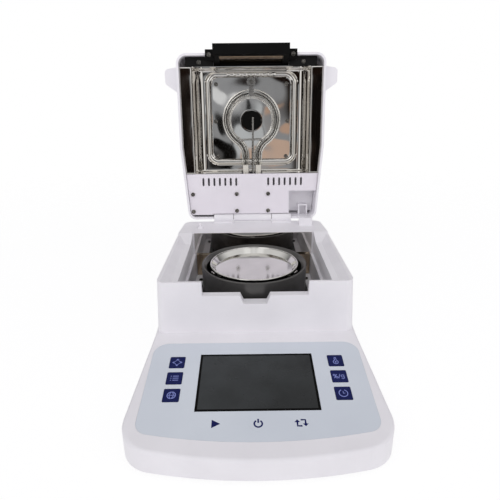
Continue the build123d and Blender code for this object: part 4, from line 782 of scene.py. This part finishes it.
SIGNS = {
    "key_zero": [bar([(3.4, 0), (0, 3.4), (-3.4, 0), (0, -3.4)], LINE * 0.9, closed=True)]
    + [arrow(3.2, 0, 0, 1.5), arrow(0, 3.2, 90, 1.5), arrow(-3.2, 0, 180, 1.5), arrow(0, -3.2, 270, 1.5)],
    "key_menu": [bar([(-1.6, y), (3.6, y)], LINE) for y in (-2.4, 0, 2.4)]
    + [bar([(-3.6, y), (-2.7, y)], LINE) for y in (-2.4, 0, 2.4)],
    "key_print": [
        ring(0, 0, 3.6),
        bar([(-3.6, 0), (3.6, 0)], THIN),
        bar(arc(2.7, 0, 4.5, 127, 233), THIN),
        bar(arc(-2.7, 0, 4.5, -53, 53), THIN),
    ],
    "key_heat": [bar(arc(0, -1.8, 2.3, 110, 430), LINE * 0.9), bar(arc(0, 3.1, 0.8, 0, 180), THIN)]
    + [bar([(x, 0.3), (x, 3.1)], THIN) for x in (-0.8, 0.8)]
    + [patch(arc(0, -1.8, 0.9, 0, 360, 13)[:-1])],
    "key_unit": [
        ring(-4.3, 1.3, 0.95, LINE * 0.75),
        ring(-2.3, -1.3, 0.95, LINE * 0.75),
        bar([(-4.6, -2.2), (-2.0, 2.2)], LINE * 0.75),
        bar([(-0.8, -2.6), (0.9, 2.6)], LINE * 0.75),
        ring(3.0, 0.1, 1.35, LINE * 0.75),
        bar([(4.4, 1.6), (4.4, -1.7)], LINE * 0.75),
        bar(arc(3.0, -1.7, 1.4, 0, -150, 16), LINE * 0.75),
    ],
    "key_time": [bar(arc(0, 0, 3.7, 110, 430), LINE), bar([(0, 2.2), (0, -0.1), (1.6, -0.1)], LINE * 0.85)],
    "key_start": [patch([(-2.8, -3.9), (4.2, 0), (-2.8, 3.9)])],
    "key_power": [bar(arc(0, -0.3, 3.2, 122, 418), HEAVY), bar([(0, 0.4), (0, 4.3)], HEAVY)],
    "key_tare": [
        bar([(0.4, -2.9), (-3.3, -2.9), (-3.3, 0.8)], 1.5),
        bar([(-0.4, 2.9), (3.3, 2.9), (3.3, -0.8)], 1.5),
        arrow(-3.3, 0.7, 90, 2.6),
        arrow(3.3, -0.7, 270, 2.6),
    ],
}
FLUSH_R, FLUSH_THICK, FLUSH_STEP, FLUSH_SIDES = 7.72, 1.0, 0.01, 72
ROUND_KEYS = ("key_start", "key_power", "key_tare")
film_top = in_system(NODES["keypad_film"], ON_SLOPE)[:, 2].max() + FLUSH_STEP


def flush_top(key_name, middle):
    """A round key's thin top: a flat disc x + r cos a, y + r sin a, that stands for the sized key."""
    rim = arc(*middle[:2], FLUSH_R, 0, 360, FLUSH_SIDES + 1)[:-1]
    disc, sides = patch(rim, film_top - FLUSH_THICK, film_top)
    hang(key_name + "_flush", to_world(disc, ON_SLOPE), sides, film, key_name, [key_name])


for key_name, shapes in SIGNS.items():
    places = in_system(NODES[key_name], ON_SLOPE)
    middle = (places.min(axis=0) + places.max(axis=0)) / 2 * (1, 1, 0)
    points, faces = joined(shapes)
    ink, slot = pale_ink, "keypad_film"
    if key_name in ROUND_KEYS:
        flush_top(key_name, middle)
        points[:, 2] += film_top - INK_LOW
        ink, slot = navy_ink, "navy_key"
    hang(key_name + "_sign", to_world(points + middle, ON_SLOPE), faces, ink, key_name, smooth=False)
print("signs:", len(SIGNS))

# %% [markdown]
# The lamp's ring is held by a clip bent from sheet: a flat ring round its screw, a neck, and a hook
# over the glass. Quartz expands far less than steel, so the clip holds it loosely, with a small gap.
# One bent strip would be truer still; straight strips that meet along whole faces look the same.

# %% Lamp bracket
EYE_AT, EYE_R, EYE_WIDTH, EYE_SIDES, NECK, STRIP = 180.0, 4.3, 3.4, 40, 6.0, 1.2
CLIP_GAP, HOOK_REACH = 0.3, 4.0


def block(x0, x1, v0, v1, w0, w1):
    """A straight block between two values along each axis."""
    return patch([(x0, v0), (x1, v0), (x1, v1), (x0, v1)], w0, w1)


def bracket():
    """The clip's strips, each as thick as the sheet; they touch along whole faces."""
    beyond = LAMP_AT + LAMP_R + TUBE_R + CLIP_GAP
    over = LAMP_IN + TUBE_R + CLIP_GAP
    rim = arc(0, EYE_AT, EYE_R, 0, 360, EYE_SIDES + 1)[:-1]
    eye = bar(rim, EYE_WIDTH, True, FLOOR_IN, FLOOR_IN + STRIP)
    half = NECK / 2
    neck = block(-half, half, beyond + STRIP, EYE_AT - EYE_R, FLOOR_IN, FLOOR_IN + STRIP)
    upright = block(-half, half, beyond, beyond + STRIP, FLOOR_IN, over + STRIP)
    hook = block(-half, half, LAMP_AT + LAMP_R - HOOK_REACH, beyond, over, over + STRIP)
    return joined([eye, neck, upright, hook])


points, faces = bracket()
places = to_world(points, ON_LID)
clip = hang("lamp_bracket_strip", places, faces, satin_steel, "lid", ["lamp_bracket"])
print("bracket faces:", len(clip.data.polygons))

# %% [markdown]
# Behind the cut-out in the lid's panel lies a white pocket, where the lamp's leads come through. It
# is a floor with a low wall on its two inner sides; the shell itself closes the other two. Without
# it the cut-out would look straight into the dark of the hood.

# %% Pocket in the lid
POCKET_FLOOR, POCKET_WALL, POCKET_TOP = -24.05, 1.0, -2.3
POCKET_LEFT, POCKET_LOW, POCKET_HIGH, RIGHT_LOW, RIGHT_HIGH = 50.7, 5.0, 35.9, 84.4, 87.0


def pocket_tray():
    """A flat floor with four corners, and two straight walls that stand on its level."""
    under = POCKET_FLOOR - POCKET_WALL
    outer, beyond = POCKET_LEFT - POCKET_WALL, POCKET_HIGH + POCKET_WALL
    lower = ((POCKET_LEFT, POCKET_LOW), (RIGHT_LOW, POCKET_LOW))
    upper = ((RIGHT_HIGH, POCKET_HIGH), (POCKET_LEFT, POCKET_HIGH))
    floor = patch(lower + upper, under, POCKET_FLOOR)
    side = block(outer, POCKET_LEFT, POCKET_LOW, POCKET_HIGH, under, POCKET_TOP)
    end = block(outer, RIGHT_HIGH, POCKET_HIGH, beyond, under, POCKET_TOP)
    return joined([floor, side, end])


points, faces = pocket_tray()
places = to_world(points, ON_LID)
hang("lid_pocket_tray", places, faces, white_abs, "lid", smooth=False)
print("pocket faces:", len(faces))

# %% [markdown]
# The display lies behind a matt cover with a thin black border, printed like the signs. The border
# hides where the module's edge meets the film, and it gives the screen its crisp outline.

# %% Display border
BORDER = 1.9
cover = in_system(NODES["display_glass"], ON_SLOPE)
cover_low, cover_high = cover.min(axis=0), cover.max(axis=0)


def border():
    """Four straight bars of black ink just inside the edges of the display's cover."""
    inset = BORDER / 2
    x0, y0 = cover_low[:2] + inset
    x1, y1 = cover_high[:2] - inset
    sides = (
        [(x0 - inset, y0), (x1 + inset, y0)],
        [(x0 - inset, y1), (x1 + inset, y1)],
        [(x0, y0 + inset), (x0, y1 - inset)],
        [(x1, y0 + inset), (x1, y1 - inset)],
    )
    points, faces = joined([bar(side, BORDER) for side in sides])
    points[:, 2] += cover_high[2] - INK_LOW
    return points, faces


points, faces = border()
hang("display_border", to_world(points, ON_SLOPE), faces, mask_ink, "base", smooth=False)
print("display cover in mm:", (cover_high - cover_low).round(1).tolist())

# %% [markdown]
# The floor is a pale disc that fades out before its edge, so no line shows where it ends. It mixes
# the paper's own shade, which keeps the object's shadow, with a white glow for rays that only look.

# %% Floor
FLOOR_R, FLOOR_CLEAR_R, FLOOR_SIDES = 1.3, 0.55, 96
GLOW, GLOW_UNSEEN, GLOW_SEEN = 1.1, 0.15, 0.78


def seen_directly(tree):
    """1 for rays that show the background itself: from the camera, a mirror or glass."""
    rays = add(tree, "ShaderNodeLightPath")
    first = add(
        tree,
        "ShaderNodeMath",
        {0: rays.outputs["Is Camera Ray"], 1: rays.outputs["Is Glossy Ray"]},
        operation="ADD",
    )
    both = {0: first.outputs[0], 1: rays.outputs["Is Transmission Ray"]}
    return add(tree, "ShaderNodeMath", both, operation="ADD", use_clamp=True).outputs[0]


def make_floor():
    """A flat disc: corner points on a circle, r cos a and r sin a, round one middle point."""
    turn = np.linspace(0, 2 * np.pi, FLOOR_SIDES + 1)[:-1]
    rim = np.stack([FLOOR_R * np.cos(turn), FLOOR_R * np.sin(turn), 0 * turn], axis=1)
    number = np.arange(FLOOR_SIDES)
    faces = np.stack([number, (number + 1) % FLOOR_SIDES, 0 * number + FLOOR_SIDES], axis=1)
    mesh = bpy.data.meshes.new("floor")
    mesh.from_pydata(np.vstack([rim, [(0, 0, 0)]]).tolist(), [], faces.tolist())
    floor = bpy.data.objects.new("floor", mesh)
    bpy.context.scene.collection.objects.link(floor)
    material, tree, shader = new_material("pale_paper_floor")
    shader.inputs["Base Color"].default_value = linear("#F4F4F4")
    shader.inputs["Roughness"].default_value = 0.9
    shader.inputs["Specular IOR Level"].default_value = 0.1
    glow = add(tree, "ShaderNodeEmission", {"Color": linear("#FFFFFF"), "Strength": GLOW})
    share = ranged(tree, seen_directly(tree), 0.0, 1.0, GLOW_UNSEEN, GLOW_SEEN)
    lit = add(tree, "ShaderNodeMixShader", {0: share, 1: shader.outputs[0], 2: glow.outputs[0]})
    distance = add(tree, "ShaderNodeVectorMath", {0: place(tree)}, operation="LENGTH").outputs["Value"]
    fade = ranged(tree, distance, FLOOR_CLEAR_R, FLOOR_R * 0.95, 0.0, 1.0)
    clear = add(tree, "ShaderNodeBsdfTransparent")
    whole = add(tree, "ShaderNodeMixShader", {0: fade, 1: lit.outputs[0], 2: clear.outputs[0]})
    tree.links.new(whole.outputs[0], tree.nodes["Material Output"].inputs["Surface"])
    mesh.materials.append(material)


make_floor()
print("floor in mm across:", 2 * FLOOR_R / MM)

# %% [markdown]
# Bright metal looks like metal only when it has something dark to mirror as well as something light.
# So there are two rooms: a plain bright one that lights the plastics, brightest in front, and one that
# only mirrors see, with tall white screens, dark gaps, and a few dark and warm things in front. One
# room for both would leave either the steel flat or the white housing streaked.

# %% Studio
SCREENS = (
    (0.0, "#9EA1A5"),
    (0.027, "#94969A"),
    (0.034, "#2A221D"),
    (0.045, "#0E0B0A"),
    (0.07, "#1A1512"),
    (0.09, "#F2F1F0"),
    (0.2, "#FFFFFF"),
    (0.25, "#5A5048"),
    (0.3, "#120F0D"),
    (0.7, "#120F0D"),
    (0.8, "#8A8580"),
    (1.0, "#F4F3F2"),
)

THINGS = (
    ((0.012, -1.0, 0.1), (0.03, 0.7, 0.06), "#C6CBD0"),
    ((-0.052, -1.0, 0.048), (0.042, 0.7, 0.038), "#0B0908"),
    ((0.046, -1.0, 0.045), (0.028, 0.7, 0.036), "#CDB3A2"),
    ((0.058, -1.0, 0.13), (0.02, 0.7, 0.02), "#C0A28E"),
    ((-0.055, -1.0, 0.165), (0.016, 0.7, 0.02), "#E4E7EA"),
    ((-0.026, -1.0, 0.12), (0.01, 0.7, 0.04), "#0F0D0C"),
    ((0.03, -1.0, 0.115), (0.006, 0.7, 0.06), "#6F7276"),
    ((0.0, -1.0, 0.228), (0.2, 0.7, 0.024), "#1B120D"),
    ((0.0, -1.0, -0.03), (0.3, 0.7, 0.024), "#4A3327"),
)
THING_EDGE, WARP_SCALE, WARP_SPREAD, WARP = (0.85, 1.1), 3.0, (0.25, 0.75), 0.008
CEILING_RISE, CEILING_SHARE = (0.35, 0.65), 0.8
FRONT_TO_BACK, POWER_FRONT, POWER_BACK = (-0.9, 0.5), 1.12, 0.5
LEVEL_TO_TOP, POWER_LEVEL, POWER_TOP = (0.0, 0.8), 1.0, 0.86


def thing_share(tree, way, centre, spread):
    """1 inside an ellipse of directions and 0 outside it: the length of (way - centre) / spread."""
    off = add(tree, "ShaderNodeVectorMath", {0: way, 1: centre}, operation="SUBTRACT").outputs[0]
    scaled = add(tree, "ShaderNodeVectorMath", {0: off, 1: spread}, operation="DIVIDE").outputs[0]
    size = add(tree, "ShaderNodeVectorMath", {0: scaled}, operation="LENGTH").outputs["Value"]
    return ranged(tree, size, *THING_EDGE, 1.0, 0.0)


def mirror_room(tree, way, parts):
    """What mirrors see: screens and gaps by the angle from the front, and a few things in front."""
    ahead = add(tree, "ShaderNodeMath", {0: parts["Y"], 1: -1.0}, operation="MULTIPLY").outputs[0]
    angle = add(tree, "ShaderNodeMath", {0: parts["X"], 1: ahead}, operation="ARCTAN2").outputs[0]
    size = add(tree, "ShaderNodeMath", {0: angle}, operation="ABSOLUTE").outputs[0]
    share = add(tree, "ShaderNodeMath", {0: size, 1: math.pi}, operation="DIVIDE").outputs[0]
    noise = {"Vector": way, "Scale": WARP_SCALE, "Detail": 1.5}
    warp = add(tree, "ShaderNodeTexNoise", noise).outputs["Fac"]
    moved = ranged(tree, warp, *WARP_SPREAD, -WARP, WARP)
    at = add(tree, "ShaderNodeMath", {0: share, 1: moved}, operation="ADD").outputs[0]
    ramp = add(tree, "ShaderNodeValToRGB", {"Fac": at})
    stops = ramp.color_ramp.elements
    while len(stops) < len(SCREENS):
        stops.new(0.5)
    for stop, (where, code) in zip(stops, SCREENS):
        stop.position, stop.color = where, linear(code)
    seen = ramp.outputs["Color"]
    for centre, spread, code in THINGS:
        seen = blended(tree, thing_share(tree, way, centre, spread), seen, linear(code))
    above = ranged(tree, parts["Z"], *CEILING_RISE, 0.0, CEILING_SHARE)
    return blended(tree, above, seen, linear("#F7F6F5"))


def make_world():
    """White to the camera, a bright plain room to the plastics, and the room of screens to mirrors."""
    world = bpy.data.worlds.new("studio")
    bpy.context.scene.world = world
    world.use_nodes = True
    tree = world.node_tree
    tree.nodes.clear()
    way = add(tree, "ShaderNodeTexCoord").outputs["Generated"]
    parts = add(tree, "ShaderNodeSeparateXYZ", {0: way}).outputs
    power = ranged(tree, parts["Y"], *FRONT_TO_BACK, POWER_FRONT, POWER_BACK)
    lower = ranged(tree, parts["Z"], *LEVEL_TO_TOP, POWER_LEVEL, POWER_TOP)
    power = add(tree, "ShaderNodeMath", {0: power, 1: lower}, operation="MULTIPLY").outputs[0]
    plain = add(tree, "ShaderNodeBackground", {"Color": linear("#FDFCFF"), "Strength": power})
    screens = add(tree, "ShaderNodeBackground", {"Color": mirror_room(tree, way, parts), "Strength": 1.0})
    white = add(tree, "ShaderNodeBackground", {"Color": (1, 1, 1, 1), "Strength": 1.0})
    rays = add(tree, "ShaderNodeLightPath").outputs
    rooms = {0: rays["Is Glossy Ray"], 1: plain.outputs[0], 2: screens.outputs[0]}
    room = add(tree, "ShaderNodeMixShader", rooms)
    views = {0: rays["Is Camera Ray"], 1: room.outputs[0], 2: white.outputs[0]}
    whole = add(tree, "ShaderNodeMixShader", views)
    output = add(tree, "ShaderNodeOutputWorld")
    tree.links.new(whole.outputs[0], output.inputs["Surface"])


BOX_SIZE, BOX_AIM = 0.8, (0.0, 0.0, 0.12)
SOFT_BOXES = {"key_light": ((-0.75, -1.15, 1.1), 1.6), "fill_light": ((1.1, -0.7, 0.9), 1.2)}


def soft_box(name, at, power):
    """A square studio lamp that looks at the middle of the object."""
    data = bpy.data.lights.new(name, "AREA")
    data.shape, data.size, data.energy = "SQUARE", BOX_SIZE, power
    lamp = bpy.data.objects.new(name, data)
    bpy.context.scene.collection.objects.link(lamp)
    aim = np.array(BOX_AIM) - np.array(at)
    back = -aim / np.linalg.norm(aim)
    side = np.cross((0.0, 0.0, 1.0), back)
    side /= np.linalg.norm(side)
    matrix = np.identity(4)
    matrix[:3, 0], matrix[:3, 1], matrix[:3, 2] = side, np.cross(back, side), back
    matrix[:3, 3] = at
    lamp.matrix_world = Matrix(matrix.tolist())


make_world()
for box_name, (box_at, box_power) in SOFT_BOXES.items():
    soft_box(box_name, box_at, box_power)
bpy.context.scene.view_settings.view_transform = "Standard"
